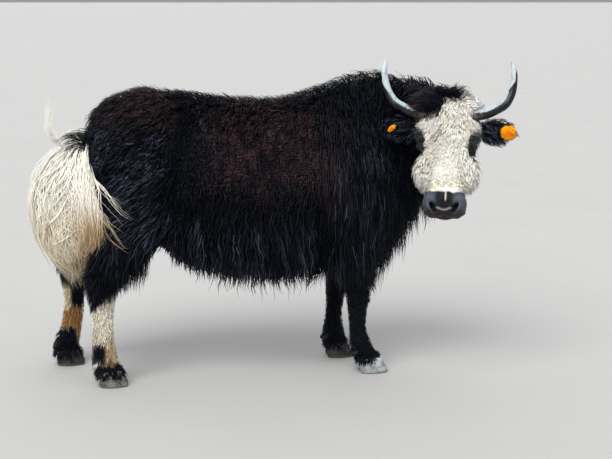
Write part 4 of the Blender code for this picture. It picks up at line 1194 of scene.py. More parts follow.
def grow(lie, surface, steps=12):
    """Paths of guide hairs: they set out along the comb, keep off the skin and then hang."""
    down = np.array(DOWN)
    lift = dot(lie.comb, lie.normals)
    heading = unit(lie.comb - lie.normals * (lift - np.clip(lift, 0.0, 1.0)))
    place = lie.roots.copy()
    out = lie.normals.copy()
    paths, outs = [place], [out]
    stride = (lie.length / steps)[:, None]
    for i in range(steps):
        share = (i + 1) / steps
        heading = unit(heading + down * (lie.droop * (0.25 + share) * 0.5)[:, None])
        moved = place + heading * stride
        near, normal = surface.nearest(moved)
        height = dot(moved - near, normal)
        wanted = (lie.rise * share ** 0.6)[:, None]
        under = np.maximum(wanted - height, 0.0)
        over = np.maximum(height - wanted, 0.0) * lie.hug[:, None] * 0.7
        moved = moved + normal * (np.minimum(under, stride * 1.5) - np.minimum(over, stride))
        heading = unit(blend(heading, unit(moved - place), 0.7))
        place = moved
        out = unit(blend(out, normal, 0.35))
        paths.append(place)
        outs.append(out)
    paths = np.stack(paths, axis=1)
    paths[:, 1:-1] = (paths[:, :-2] + 2.0 * paths[:, 1:-1] + paths[:, 2:]) / 4.0
    return paths, np.stack(outs, axis=1)


def sampled(lines, shares):
    """Points on polylines: lines is (n, m, 3) and shares is (n, r), from 0 at the root to 1."""
    last = lines.shape[1] - 1
    at = np.clip(shares, 0.0, 1.0) * last
    low = np.minimum(at.astype(int), last - 1)
    rows = np.arange(len(lines))[:, None]
    return blend(lines[rows, low], lines[rows, low + 1], (at - low)[:, :, None])


def tufts_on(lie, paths, outs, draw, surface, each, spread, clump, rings, loose=LOOSE):
    """Tufts that gather round guide hairs. Returns the rings' middles, their ways out, widths and roots."""
    guide = np.repeat(np.arange(len(lie.roots)), each)
    count = len(guide)
    normals = lie.normals[guide]
    offset = draw.normal(size=(count, 3)) * spread * 0.62
    offset -= normals * dot(offset, normals)
    roots, root_normals = surface.nearest(lie.roots[guide] + offset)
    offset = roots - lie.roots[guide]
    reach = draw.uniform(0.62, 1.0, count)
    shares = np.linspace(0.0, 1.0, rings + 1)
    spots = sampled(paths[guide], reach[:, None] * shares)
    ways = unit(sampled(outs[guide], reach[:, None] * shares))
    gather = 1.0 - clump * (reach[:, None] * shares) ** 1.3
    spots = spots + offset[:, None, :] * gather[:, :, None]
    along = unit(np.gradient(spots, axis=1))
    ways = unit(ways - along * dot(ways, along))
    across = np.cross(along, ways)
    # Waves shared by a guide's tufts, a looser swing of each tuft, and a random height in the pile
    length = lie.length[guide] * reach
    step = 2.0 * math.pi * dot(lie.roots - (0.0, 0.0, 0.9), lie.flow)[:, 0] / lie.wave_length
    slip = np.where(np.abs(lie.flow).sum(axis=1) > 0.0, 2.5, 9.0)
    phase = (step + cloud(lie.roots, 0.09, 3.0) * slip)[guide] + draw.normal(size=count) * 0.30
    run = length[:, None] * shares
    turn = 2.0 * math.pi * run / lie.wave_length[guide][:, None] + phase[:, None]
    swell = lie.wave[guide][:, None] * np.minimum(shares * 2.0, 1.0)
    spots = spots + across * (np.sin(turn) * swell)[:, :, None]
    spots = spots + ways * (np.cos(turn) * swell * 0.7)[:, :, None]
    swing = draw.normal(size=(count, 2)) * loose
    away = (length[:, None] * 0.16) * shares ** 1.6
    spots = spots + across * (swing[:, :1] * away)[:, :, None]
    pile = draw.random(count)
    lift = (lie.rise[guide] * 0.9 * pile)[:, None] * np.minimum(shares * 3.0, 1.0)
    spots = spots + ways * (lift + np.abs(swing[:, 1:]) * away * 0.30)[:, :, None]
    spots[:, 0] = roots - root_normals * ROOT_DEPTH
    width = lie.width[guide] * draw.uniform(0.7, 1.3, count)
    return spots, ways, width, roots, lie.parts[guide]


def tuft_mesh(name, spots, ways, width, roots, parts, draw, flatness=FLATNESS):
    """One mesh of closed, tapered, three-sided tufts, with its bake map and its attributes."""
    count, rings = len(spots), spots.shape[1] - 1
    along = unit(np.gradient(spots, axis=1))
    ways = unit(ways - along * dot(ways, along))
    across = np.cross(along, ways)
    shares = np.linspace(0.0, 1.0, rings + 1)[:-1]
    profile = (0.55 + 0.45 * np.minimum(shares * 3.5, 1.0)) * (1.0 - shares ** 1.7) ** 0.75
    half = (width[:, None] * profile)[:, :, None]
    body = spots[:, :-1]
    side = across[:, :-1] * half
    crest = ways[:, :-1] * half * flatness * 2.0
    corners = np.stack([body - side, body + crest, body + side], axis=2).reshape(count, rings * 3, 3)
    verts = np.concatenate([corners, spots[:, -1:]], axis=1)
    faces, tip = [(0, 2, 1)], rings * 3
    for ring in range(rings - 1):
        for k in range(3):
            a, b = ring * 3 + k, ring * 3 + (k + 1) % 3
            faces += [(a, b, b + 3), (a, b + 3, a + 3)]
    faces += [((rings - 1) * 3 + k, (rings - 1) * 3 + (k + 1) % 3, tip) for k in range(3)]
    pattern = np.array(faces)
    step = rings * 3 + 1
    triangles = (pattern[None] + (np.arange(count) * step)[:, None, None]).reshape(-1, 3)
    mesh = bpy.data.meshes.new(name)
    mesh.vertices.add(count * step)
    mesh.loops.add(triangles.size)
    mesh.polygons.add(len(triangles))
    mesh.vertices.foreach_set("co", (verts + np.array(SHIFT)).astype(np.float32).ravel())
    mesh.loops.foreach_set("vertex_index", triangles.astype(np.int32).ravel())
    mesh.polygons.foreach_set("loop_start", np.arange(0, triangles.size, 3, dtype=np.int32))
    mesh.update(calc_edges=True)
    # Attributes that the materials read
    share = np.append(np.repeat(shares, 3), 1.0)
    over = np.append(np.tile([-1.0, 0.0, 1.0], rings), 0.0)
    add_attribute(mesh, "root", np.repeat(roots, step, axis=0), "FLOAT_VECTOR", "vector")
    add_attribute(mesh, "tuft", np.repeat(draw.random(count), step))
    add_attribute(mesh, "share", np.tile(share, count))
    add_attribute(mesh, "across", np.tile(over, count))
    # Each tuft's patch on the bake map lies at its root's place on the unwrapped skin
    flat = unwrap(roots, parts)
    span = np.maximum(np.ptp(flat, axis=0), EPSILON)
    flat = 0.01 + 0.98 * (flat - flat.min(axis=0)) / span
    local = np.zeros((step, 2))
    local[:-1, 0] = np.repeat(shares, 3) - 0.5
    local[:-1, 1] = np.tile([-0.5, 0.0, 0.5], rings)
    local[1:-1:3, 0] -= 0.08
    local[-1] = (0.5, 0.0)
    patch = flat[:, None, :] + local[None] * PATCH
    layer = mesh.uv_layers.new(name="OFBake")
    layer.uv.foreach_set("vector", patch.reshape(-1, 2)[triangles.ravel()].astype(np.float32).ravel())
    obj = bpy.data.objects.new(name, mesh)
    bpy.context.scene.collection.objects.link(obj)
    return obj


def coat_pieces(name, spots, ways, width, roots, parts, draw, material, slot, order=0, flatness=FLATNESS):
    """The tufts in as many pieces as the limit on triangles asks, parted along one axis."""
    per_tuft = 6 * (spots.shape[1] - 2) + 4
    count = math.ceil(len(spots) * per_tuft / PIECE_LIMIT)
    ranked = np.argsort(roots[:, order], kind="stable")
    for i, chosen in enumerate(np.array_split(ranked, count)):
        piece = tuft_mesh(
            f"{name}_{i + 1}" if count > 1 else name, spots[chosen], ways[chosen], width[chosen],
            roots[chosen], parts[chosen], draw, flatness,
        )
        piece.data.materials.append(material)
        finished(piece, slot, move=False)


def lay_coat(name, lie, surface, draw, material, slot, steps, *tufting, order=0, flatness=FLATNESS):
    """Grows guide hairs along a lie, gathers tufts round them and makes the pieces."""
    paths, outs = grow(lie, surface, steps)
    made = tufts_on(lie, paths, outs, draw, surface, *tufting)
    coat_pieces(name, *made, draw, material, slot, order, flatness)


def coat_spacing(full):
    return full * 1.0


# The lie of each part's hair

ZONE_FIELDS = ("lean", "length", "rise", "droop", "hug", "width", "wave", "wave_length")


def trunk_zones(lie):
    """The zones of the trunk, each over the ones before it: its share, and then its ZONE_FIELDS."""
    x, _, z = lie.roots.T
    up = lie.normals[:, 2]
    neck = (lie.parts == NECK) * 1.0
    rear = 1.0 - smooth(x, -0.28, -0.17)
    chest = smooth(x, 0.33, 0.46)
    belly = (1.0 - rear) * (1.0 - chest)
    fore = np.isin(lie.parts, (FORE_LEFT, FORE_RIGHT)) * 1.0
    brisket = (lie.parts == TORSO) * smooth(x, 0.62, 0.68) * (1.0 - smooth(z, 0.80, 0.92))
    # The far hind leg stands further back than the near one
    hock = x + np.where(lie.parts == HIND_LEFT, 0.13 * (1.0 - smooth(z, 0.50, 0.75)), 0.0)
    thigh_hang = np.clip(z - np.interp(hock, *zip(*THIGH_TIPS)), 0.080, 0.270)
    belly_hang = np.clip(z - np.interp(x, *zip(*BELLY_TIPS)), 0.120, 0.330)
    chest_hang = np.clip(z - np.interp(x, *zip(*CHEST_TIPS)), 0.110, 0.320)
    leg_hang = np.clip(z - 0.370, 0.060, 0.240)
    throat_hang = np.clip(z - np.interp(x, *zip(*CHEST_TIPS)), 0.065, 0.260)
    reach = np.interp(z, (0.70, 0.80, 1.00, 1.15), (0.24, 0.21, 0.15, 0.095))
    fan = -np.clip((x - 0.06) * 1.6, -0.55, 0.50)
    tail_head = (1.0 - smooth(x, -0.545, -0.48)) * smooth(z, 0.92, 0.97)
    return (
        (1.0, 0.20, 0.042, 0.007, 0.10, 1.00, 0.0025, 0.0012, 0.024),
        (smooth(up, 0.50, 0.85), 0.80, 0.062, 0.026, 0.12, 1.00, 0.0027, 0.0060, 0.036),
        (rear * smooth(z, 0.80, 0.90), 1.20, 0.072, 0.021, 0.12, 1.00, 0.0027, 0.0050, 0.032),
        (rear * (1.0 - smooth(z, 0.84, 0.94)), 2.60, 0.110, 0.014, 0.14, 1.00, 0.0027, 0.0026, 0.060),
        (rear * (1.0 - smooth(z, 0.62, 0.70)), 0.35, thigh_hang, 0.024, 0.30, 0.00, 0.0031, 0.0045, 0.090),
        (belly * (1.0 - smooth(z, 0.76, 0.90)), 0.15, 0.120, 0.016, 0.20, 0.80, 0.0028, 0.0060, 0.055),
        (belly * (1.0 - smooth(z, 0.66, 0.78)), fan, belly_hang, 0.030, 0.30, 0.00, 0.0033, 0.0060, 0.100),
        (chest * (1.0 - smooth(up, 0.55, 0.90)), -0.10, reach, 0.020, 0.30, 0.60, 0.0030, 0.0030, 0.120),
        (chest * (1.0 - smooth(z, 0.56, 0.68)), -0.35, chest_hang, 0.026, 0.35, 0.00, 0.0033, 0.0040, 0.120),
        (brisket, 0.0, chest_hang, 0.026, 0.40, 0.00, 0.0034, 0.0040, 0.110),
        (neck, 0.35, 0.100, 0.027, 0.25, 0.90, 0.0030, 0.0040, 0.060),
        (neck * smooth(-up, -0.45, 0.15), 0.10, throat_hang, 0.030, 0.45, 0.00, 0.0034, 0.0040, 0.110),
        (fore, -0.20, leg_hang, 0.022, 0.40, 0.00, 0.0031, 0.0035, 0.090),
        (tail_head, 3.0, 0.120, 0.020, 0.22, 0.50, 0.0024, 0.0040, 0.080),
    )


def trunk_lie(roots, normals, sizes, draw):
    """Back, barrel, skirt, shoulder, rump, neck, brisket and upper legs."""
    lie = Lie(roots, normals)
    values = {field: np.zeros(len(roots)) for field in ZONE_FIELDS}
    for share, *row in trunk_zones(lie):
        for field, value in zip(ZONE_FIELDS, row):
            values[field] = blend(values[field], value, share)
    lean = values.pop("lean")
    lie.set(**values)
    back = np.tile((-1.0, 0.0, 0.0), (len(roots), 1))
    neck_axis = (Vector(NECK_RINGS[-1][0]) - Vector(NECK_RINGS[1][0])).normalized()
    back[lie.parts == NECK] = -np.array(neck_axis)
    gust, fine = cloud(roots, 0.22, 1.0), cloud(roots, 0.045, 2.0)
    swirl = cloud(roots, 0.06, 7.0) * smooth(normals[:, 2], 0.55, 0.90)
    sideways = np.tile((0.0, 1.0, 0.0), (len(roots), 1)) * (swirl * 1.2)[:, None]
    down = np.array(DOWN)
    hang = down - normals * np.minimum(normals @ down, 0.0)[:, None]
    backwards = lean + (0.22 + 0.30 * (1.0 - lie.hug)) * gust + 0.16 * fine
    lie.comb = hang + back * backwards[:, None] + sideways
    lie.flow = unit(np.stack([-lean, np.zeros(len(lean)), -np.ones(len(lean))], axis=1))
    strays = 1.0 + 0.25 * (draw.random(len(roots)) > 0.93)
    lie.length = lie.length * sizes.length * strays * (1.0 + 0.10 * fine)
    return lie


# The trunk's hair by length: from and to, tufts to a guide, their spread and clump, rings, and crimp with
# its painted shade
TRUNK_HAIR = (
    ("short", 0.0, 0.085, 6, 0.85, 0.40, 3, 0.65),
    ("middle", 0.085, 0.160, 4, 0.90, 0.60, 4, 0.36),
    ("long", 0.160, 1.0, 4, 1.00, 0.66, 6, 0.0),
)


def make_trunk_coat(sizes, look):
    """The coat of trunk, neck and upper legs, down to the shanks."""
    surface = skin_surface()
    draw = np.random.default_rng(11)
    spacing = coat_spacing(sizes.guide_spacing)
    roots, normals = surface.scatter(draw, (TORSO, NECK, *LEG_PARTS), spacing)
    kept = roots[:, 2] >= np.where(roots[:, 0] < 0.0, 0.455, 0.40)
    lie = trunk_lie(roots[kept], normals[kept], sizes, draw)
    for name, low, high, each, spread, clump, rings, crimp in TRUNK_HAIR:
        some = lie.only((lie.length >= low) & (lie.length < high))
        material = coat_material("hair_" + name, body_markings, look, True, look.gloss, crimp=crimp)
        lay_coat(
            "coat_" + name, some, surface, draw, material, "black_coat", 12,
            each, spacing * spread, clump, rings,
        )


def leg_lie(roots, normals):
    """Short hair that runs down the shanks, longer behind the fetlocks and over the hooves."""
    lie = Lie(roots, normals)
    x, _, z = roots.T
    down = np.array(DOWN) - normals * (normals @ np.array(DOWN))[:, None]
    stray = cloud(roots, 0.03, 1.0)[:, None] * np.array((0.25, 0.25, 0.0))
    lie.comb = down + np.array((-0.12, 0.0, 0.0)) + stray
    fetlock = hump(z, 0.120, 0.030)
    behind = smooth(-normals[:, 0], 0.0, 0.8)
    cuff = 1.0 - smooth(z, 0.070, 0.095)
    top = smooth(z, 0.32, 0.45)
    hind = 1.0 * (x < 0.0)
    trim = 1.0 - 0.55 * smooth(normals[:, 0], 0.0, 0.6) * cuff * (x > 0.0)
    lie.set(
        length=(0.026 + 0.018 * fetlock * behind + 0.030 * top + 0.012 * cuff + 0.006 * hind) * trim,
        rise=0.0042 + 0.007 * fetlock * behind + 0.006 * top + 0.010 * cuff + 0.002 * hind,
        droop=0.08 + 0.4 * cuff,
        hug=1.0 - 0.6 * cuff,
        width=0.0022 + 0.0008 * cuff,
        wave=0.0008 + 0.0012 * hind,
        wave_length=0.022,
    )
    return lie


def make_leg_coat(look):
    """Short hair of the shanks, and thicker cuffs that hide the tops of the hooves."""
    surface = skin_surface()
    draw = np.random.default_rng(12)
    spacing = coat_spacing(SHANK_SPACING)
    roots, normals = surface.scatter(draw, tuple(LEG_PARTS), spacing)
    hind = roots[:, 0] < 0.0
    kept = (roots[:, 2] < np.where(hind, 0.50, 0.44)) & (roots[:, 2] > np.where(hind, 0.058, 0.065))
    lie = leg_lie(roots[kept], normals[kept])
    cuffs = lie.only(lie.roots[:, 2] < CUFF_TOP)
    material = coat_material("hair_legs", leg_markings, look, True, 0.48, 0.16, contrast=0.50)
    for name, some, each, clump, loose in (
        ("coat_shanks", lie, 2, 0.30, 0.4),
        ("coat_cuffs", cuffs, 3, 0.20, 0.5),
    ):
        lay_coat(name, some, surface, draw, material, "tan_coat", 5, each, spacing, clump, 2, loose, order=2)


def face_lie(roots, normals, sizes):
    """Wool that hangs over the forehead, fluffs on the cheeks and is short on the nose."""
    lie = Lie(roots, normals)
    side, along, front = in_head(roots).T
    reach = np.abs(side)
    sideways, ahead, forward = (np.array(axis) for axis in (SIDEWAYS, ALONG, FRONT))
    swirl = cloud(roots, 0.045, 5.0)
    fan = np.clip(side * 8.0, -0.8, 0.8) + 0.8 * swirl
    nose = (1.0 - smooth(reach, 0.050, 0.085)) * smooth(along, 0.265, 0.290)
    cheek = smooth(reach, 0.040, 0.080) * smooth(along, 0.19, 0.26) * (1.0 - smooth(along, 0.355, 0.39))
    lie.comb = (
        ahead * (1.0 + 0.25 * cloud(roots, 0.035, 6.0))[:, None]
        + sideways * (fan * (0.50 - 0.15 * cheek - 0.2 * nose))[:, None]
        - forward * (0.35 * smooth(-front, 0.05, 0.12) * (1.0 - cheek))[:, None]
    )
    eye = np.exp(-(((reach - 0.120) / 0.032) ** 2 + ((along - EYE_ALONG) / 0.038) ** 2))
    brow = 1.0 - smooth(along, 0.14, 0.26)
    muzzle = smooth(along, 0.355, 0.395)
    length = 0.020 + 0.022 * brow + 0.030 * cheek + 0.020 * smooth(-front, 0.10, 0.17)
    length = length * (1.0 - 0.35 * eye) * (1.0 - 0.28 * nose) * (1.0 - 0.55 * muzzle)
    rise = (0.004 + 0.008 * brow + 0.017 * cheek) * (1.0 - 0.2 * eye) * (1.0 - 0.35 * nose)
    lie.set(
        length=length * sizes.face_length,
        rise=rise * (1.0 - 0.7 * muzzle),
        droop=0.08 + 0.25 * cheek,
        hug=1.0 - 0.4 * cheek - 0.3 * brow,
        width=(0.0021 + 0.0003 * cheek) * (1.0 - 0.3 * muzzle),
        wave=0.0028 * (1.0 - 0.3 * nose),
        wave_length=0.024,
    )
    return lie


def make_face_coat(sizes, look):
    """The wool of the face, which leaves eyes, horns and muzzle free."""
    surface = skin_surface()
    draw = np.random.default_rng(13)
    spacing = coat_spacing(FACE_SPACING)
    roots, normals = surface.scatter(draw, (HEAD,), spacing)
    side, along, front = in_head(roots).T
    eye = np.sqrt(((np.abs(side) - EYE_SIDE - 0.01) / 0.030) ** 2 + ((along - EYE_ALONG) / 0.027) ** 2
                  + ((front - EYE_DEPTH) / 0.022) ** 2)
    _, horn_along, horn_front, _ = HORN_STATIONS[0]
    horn = np.sqrt(((along - horn_along) / 0.030) ** 2 + ((front - horn_front) / 0.030) ** 2)
    notch = (np.abs(side - NOTCH_SIDE) < 0.004) & (along < 0.410)
    edge = 0.402 - 0.014 * smooth(np.abs(side), 0.04, 0.072)
    kept = ((along < edge) | notch) & (eye > 1.0) & ((horn > 1.0) | (np.abs(side) < 0.075))
    lie = face_lie(roots[kept], normals[kept], sizes)
    material = coat_material("hair_face", face_markings, look, True, 0.6, contrast=0.30, sheen=0.28)
    lay_coat(
        "coat_face", lie, surface, draw, material, "white_face", 6, 4, spacing, 0.60, 4, 0.7, flatness=0.16,
    )


# The lower edge of the shock on the poll: side, and how far along the face
POLL_EDGE = (
    (-0.10, 0.035), (-0.08, 0.060), (-0.03, 0.062), (-0.015, 0.004), (0.05, 0.004), (0.075, 0.036),
)


def poll_lie(roots, normals):
    """A shock of hair that rises between the horns, parts, and falls over their bases."""
    lie = Lie(roots, normals)
    side = in_head(roots)[:, 0]
    sideways, ahead, forward = (np.array(axis) for axis in (SIDEWAYS, ALONG, FRONT))
    swirl = cloud(roots, 0.035, 8.0)
    right = 1.0 - smooth(side, -0.055, -0.015)
    lie.comb = (
        forward * (0.35 + 0.20 * right)[:, None] - ahead * (0.65 - 0.28 * right)[:, None]
        + sideways * (np.clip((side - 0.01) * 18.0, -1.6, 1.0) + 0.9 * swirl * (1.0 - 0.6 * right))[:, None]
    )
    # Hair by the left horn lies flat across its root
    left = smooth(side, 0.040, 0.055)[:, None]
    lie.comb = blend(lie.comb, sideways + forward * 0.30 - ahead * 0.35, left)
    left = left[:, 0]
    lie.set(
        length=0.060 + 0.040 * right - 0.006 * left + 0.022 * cloud(roots, 0.03, 9.0),
        rise=0.030 - 0.002 * right - 0.012 * left,
        hug=0.10,
        droop=0.16 - 0.06 * right,
        width=0.0021,
        wave=0.0055,
        wave_length=0.045,
    )
    return lie


def ear_lie(roots, normals):
    """Long black hair that fringes the ears and hangs from their edges."""
    lie = Lie(roots, normals)
    lie.comb = 0.5 * normals
    for part, sign in EAR_PARTS.items():
        root, tip = ear_line(sign)
        lie.comb[lie.parts == part] += np.array((tip - root).normalized())
    lie.comb += np.array((0.0, 0.0, -0.45)) + cloud(roots, 0.02, 3.0)[:, None] * np.array(SIDEWAYS) * 0.3
    length = 0.046 + 0.016 * cloud(roots, 0.03, 4.0)
    # The tassels lie on the hair and press it flat
    for sign in SIDES.values():
        root, tip = ear_line(sign)
        gap = np.linalg.norm(roots - np.array(root.lerp(tip, TAG_PLACE)), axis=1)
        length = length * (0.30 + 0.70 * smooth(gap, 0.022, 0.040))
    lie.set(length=length, rise=0.012, hug=0.3, droop=0.22, width=0.0023, wave=0.003)
    return lie


def make_head_fringes(look):
    """The shock on the poll and the fringes of the ears."""
    surface = skin_surface()
    draw = np.random.default_rng(14)
    spacing = coat_spacing(FRINGE_SPACING)
    roots, normals = surface.scatter(draw, (HEAD,), spacing)
    side, along, front = in_head(roots).T
    kept = (along < np.interp(side, *zip(*POLL_EDGE))) & (front > -0.13) & (np.abs(side) < 0.100)
    lie = poll_lie(roots[kept], normals[kept])
    material = coat_material("hair_fringes", fringe_markings, look, True, look.gloss, contrast=1.25)
    lay_coat("coat_poll", lie, surface, draw, material, "black_coat", 8, 7, spacing, 0.60, 5)
    lie = ear_lie(*surface.scatter(draw, tuple(EAR_PARTS), spacing))
    material = coat_material("hair_ears", ear_markings, look, True, look.gloss)
    lay_coat("coat_ears", lie, surface, draw, material, "black_coat", 6, 4, spacing, 0.45, 4)


def make_tail_coat(look):
    """A full tail: hair that leaves the dock all round, swells and comes together at the tip."""
    draw = np.random.default_rng(15)
    count = TAIL_GUIDES // 1
    heights, rear, fore = (np.array(column)[::-1] for column in zip(*TAIL_OUTLINE))
    dock = np.array([centre for centre, _ in DOCK_STATIONS])
    # Roots run along the dock, more of them high up
    at = draw.random(count) ** 1.25 * (len(dock) - 2) + 0.6
    low = at.astype(int)
    root = blend(dock[low], dock[np.minimum(low + 1, len(dock) - 1)], (at - low)[:, None])
    turn = draw.uniform(0.0, 2.0 * math.pi, count)
    layer = draw.uniform(0.80, 1.0, count)
    radii = np.interp(at, np.arange(len(dock)), [radius for _, radius in DOCK_STATIONS])
    root = root + np.stack([np.cos(turn), np.sin(turn), np.zeros(count)], axis=1) * (radii * 0.7)[:, None]
    length = draw.uniform(0.26, 0.56, count)
    end = np.maximum(root[:, 2] - length, 0.372 + 0.06 * draw.random(count))
    paths = []
    gust = cloud(np.stack([np.cos(turn), np.sin(turn), root[:, 2] * 3.0], axis=1), 0.9, 2.0)
    wander = draw.normal(size=(count, 3)) * (0.55, 0.55, 0.08)
    for i in range(TAIL_STEPS + 1):
        share = i / TAIL_STEPS
        z = blend(root[:, 2], end, share ** 1.15) + 0.020 * math.sin(math.pi * min(share * 3.0, 1.0)) * layer
        middle = (np.interp(z, heights, rear) + np.interp(z, heights, fore)) / 2.0
        half = (np.interp(z, heights, fore) - np.interp(z, heights, rear)) / 2.0
        open_out = math.sin(min(share * 2.2, 1.0) * math.pi / 2.0)
        drift = turn + gust * 0.5 * share + wander[:, 0] * np.sin(share * 4.0 + wander[:, 1] * 4.0)
        full = layer * (1.0 + wander[:, 2] * share)
        x = blend(root[:, 0], middle + np.cos(drift) * half * full, open_out)
        sweep_out = -0.17 * np.clip(np.cos(drift), 0.0, 1.0) * smooth(z, 0.45, 0.60)
        y = blend(root[:, 1], np.sin(drift) * half * full * 0.92 + sweep_out, open_out)
        paths.append(np.stack([x, y, z], axis=1))
    paths = np.stack(paths, axis=1)
    # Hair at the fore edge passes outside the near thigh
    surface = skin_surface()
    near, out = surface.nearest(paths.reshape(-1, 3))
    height = dot(paths.reshape(-1, 3) - near, out)
    ahead = (paths[:, :, :1] > -0.56) & (paths[:, :, 2:] < 0.93)
    push = np.where(ahead, np.maximum(0.034 - height.reshape(*ahead.shape), 0.0), 0.0)
    paths = paths + push * out.reshape(paths.shape)
    outs = paths - paths[:, :1]
    outs[:, :, 2] = 0.0
    sides = np.stack([np.cos(turn), np.sin(turn), np.zeros(count)], axis=1)[:, None, :]
    outs = unit(outs * 4.0 + sides)
    lie = Lie(root, sides[:, 0])
    lie.parts = np.full(count, TAIL)
    wave, wave_length = draw.uniform(0.003, 0.008, count), draw.uniform(0.07, 0.16, count)
    lie.set(length=root[:, 2] - end, rise=0.004, width=0.0022, wave=wave, wave_length=wave_length)
    made = tufts_on(lie, paths, outs, draw, surface, 3, 0.014, 0.60, 7, loose=0.40)
    material = tail_material(look)
    coat_pieces("coat_tail", *made, draw, material, "tail_hair", order=2, flatness=0.16)
    coat_pieces("coat_wisps", *wisps(draw), draw, material, "tail_hair", order=2)


# Loose strands of tail hair: the number in each, its spread, and its path as x, y and z
WISPS = (
    (34, 0.016, (
        (-0.64, 0.0, 0.955), (-0.69, 0.0, 1.01), (-0.714, 0.0, 1.07),
        (-0.702, 0.0, 1.13), (-0.668, 0.0, 1.178),
    )),
    (16, 0.008, (
        (-0.655, 0.0, 0.975), (-0.705, -0.01, 1.04), (-0.716, -0.01, 1.105),
        (-0.712, 0.0, 1.16), (-0.69, 0.0, 1.205),
    )),
    (10, 0.006, (
        (-0.67, -0.03, 1.02), (-0.64, -0.05, 1.048), (-0.59, -0.07, 1.056),
        (-0.54, -0.09, 1.05),
    )),
    (9, 0.02, (
        (-0.535, -0.16, 0.875), (-0.5, -0.21, 0.835), (-0.47, -0.24, 0.79),
        (-0.425, -0.26, 0.735), (-0.385, -0.27, 0.68),
    )),
    (13, 0.02, (
        (-0.54, -0.15, 0.79), (-0.5, -0.2, 0.74), (-0.478, -0.24, 0.69),
        (-0.435, -0.26, 0.625), (-0.375, -0.27, 0.605),
    )),
)


def wisps(draw):
    """Strands that curl up over the tail head or lie across the thigh."""
    surface = skin_surface()
    rings = 9
    shares = np.linspace(0.0, 1.0, rings + 1)
    all_spots = []
    for count, spread, path in WISPS:
        line = np.array([point for point, _ in curve_through([(Vector(spot), 0.0) for spot in path], 24)])
        reach = draw.uniform(0.55, 1.0, count)[:, None] * shares
        spots = sampled(np.broadcast_to(line, (count, *line.shape)), reach)
        offset = draw.normal(size=(count, 1, 3)) * spread * (1.0, 0.6, 1.0)
        turn = draw.uniform(0.0, 6.3, (count, 1)) + reach * draw.uniform(5.0, 11.0, (count, 1))
        curl = np.stack([np.sin(turn), np.cos(turn) * 0.6, np.cos(turn * 0.8)], axis=2) * spread * 0.55
        run = shares[None, :, None]
        all_spots.append(spots + offset * (0.35 + 0.65 * run) + curl * run)
    spots = np.concatenate(all_spots)
    # None of them passes under the coat of the thigh
    near, out = surface.nearest(spots.reshape(-1, 3))
    flat = spots.reshape(-1, 3)
    height = dot(flat - near, out)
    on_thigh = (flat[:, :1] > -0.53) & (flat[:, 2:] < 0.95)
    wanted = 0.030 + 0.012 * draw.random((len(flat), 1))
    spots = (flat + np.where(on_thigh, wanted - height, 0.0) * out).reshape(spots.shape)
    ways = out.reshape(spots.shape)
    width = draw.uniform(0.0006, 0.0012, len(spots))
    return spots, ways, width, spots[:, 0], np.full(len(spots), TAIL)


def tail_material(look):
    """Cream hair, whiter on top, stained tan low down and on the fore edge."""
    finish = Finish(
        "hair_tail", Roughness=0.5, IOR=1.5, Specular_IOR_Level=0.35, Sheen_Weight=0.7, Sheen_Roughness=0.6,
    )
    here = finish.place()
    x, z = here.dot(X_AXIS), here.dot(Z_AXIS)
    tuft = finish.attribute("tuft")
    share = finish.attribute("share")
    patches = finish.cloud(here.scaled((1.0, 1.0, 0.35)), 13.0, 3.0, 0.6)
    low = (z + patches * 0.16).eased(0.86, 0.60)
    colour = finish.mix(look.white, look.cream, (low * 0.85 + tuft * 0.42).least(1.0))
    stain = (x + patches * 0.10).eased(-0.600, -0.500) * (z + patches * 0.08).eased(0.84, 0.62)
    tip = (z + patches * 0.06).eased(0.50, 0.42)
    streak = patches.eased(0.46, 0.60) * z.eased(0.92, 0.66) * tuft
    tan = (stain * 1.3 + streak * 0.8 + tip * 0.4).least(1.0)
    colour = finish.mix(colour, look.tail_tan, tan)
    hairs = single_hairs(finish, tuft, share, 2.4, 3.0)
    finish.colour(finish.shade(colour, (tuft * 0.20 + 0.92) * (hairs * 0.45 + 0.88)))
    finish.bump(hairs, 0.0010, 0.6)
    return finish.material


# Eyes, horns, feet and tassels

def eye_material(name, sign):
    """A dark brown eye with a level pupil."""
    finish = Finish(name, Roughness=0.12, IOR=1.38, Coat_Weight=1.0, Coat_Roughness=0.02)
    _, across, rise = eye_axes(sign)
    centre = head_point(sign * EYE_SIDE, EYE_ALONG, EYE_DEPTH) + SHIFT
    here = finish.here().shifted(-centre)
    along, tall = here.dot(across), here.dot(rise)
    radius = (along.power(2.0) + tall.power(2.0)).power(0.5)
    pupil = ((along / 0.0062).power(2.0) + (tall / 0.0032).power(2.0)).eased(1.2, 0.8)
    streaks = finish.cloud(here, 700.0, 2.0)
    iris = finish.mix((0.050, 0.024, 0.011), (0.012, 0.006, 0.004), streaks)
    ball_colour = finish.mix(iris, (0.24, 0.20, 0.17), radius.eased(0.0150, 0.0170))
    limb = radius.eased(0.0125, 0.0150) * radius.eased(0.0175, 0.0155)
    ball_colour = finish.mix(ball_colour, (0.006, 0.004, 0.003), limb)
    finish.colour(finish.mix(ball_colour, (0.003, 0.003, 0.004), pupil))
    return finish.material


def make_eyes():
    for name, sign in SIDES.items():
        centre = head_point(sign * EYE_SIDE, EYE_ALONG, EYE_DEPTH)
        look = eye_axes(sign)[0]
        eye = ball("eyeball_" + name, centre, (EYE_RADIUS,) * 3, None, *EYE_SEGMENTS)
        places, _ = coordinates(eye.data)
        offset = places - np.array(centre)
        facing = (offset @ np.array(look)) / EYE_RADIUS
        swell = 1.0 + 0.10 * smooth(facing, 0.70, 1.0)
        set_coordinates(eye.data, np.array(centre) + offset * swell[:, None])
        eye.data.materials.append(eye_material("eye_" + name, sign))
        finished(eye, "eye", "eye_" + name)


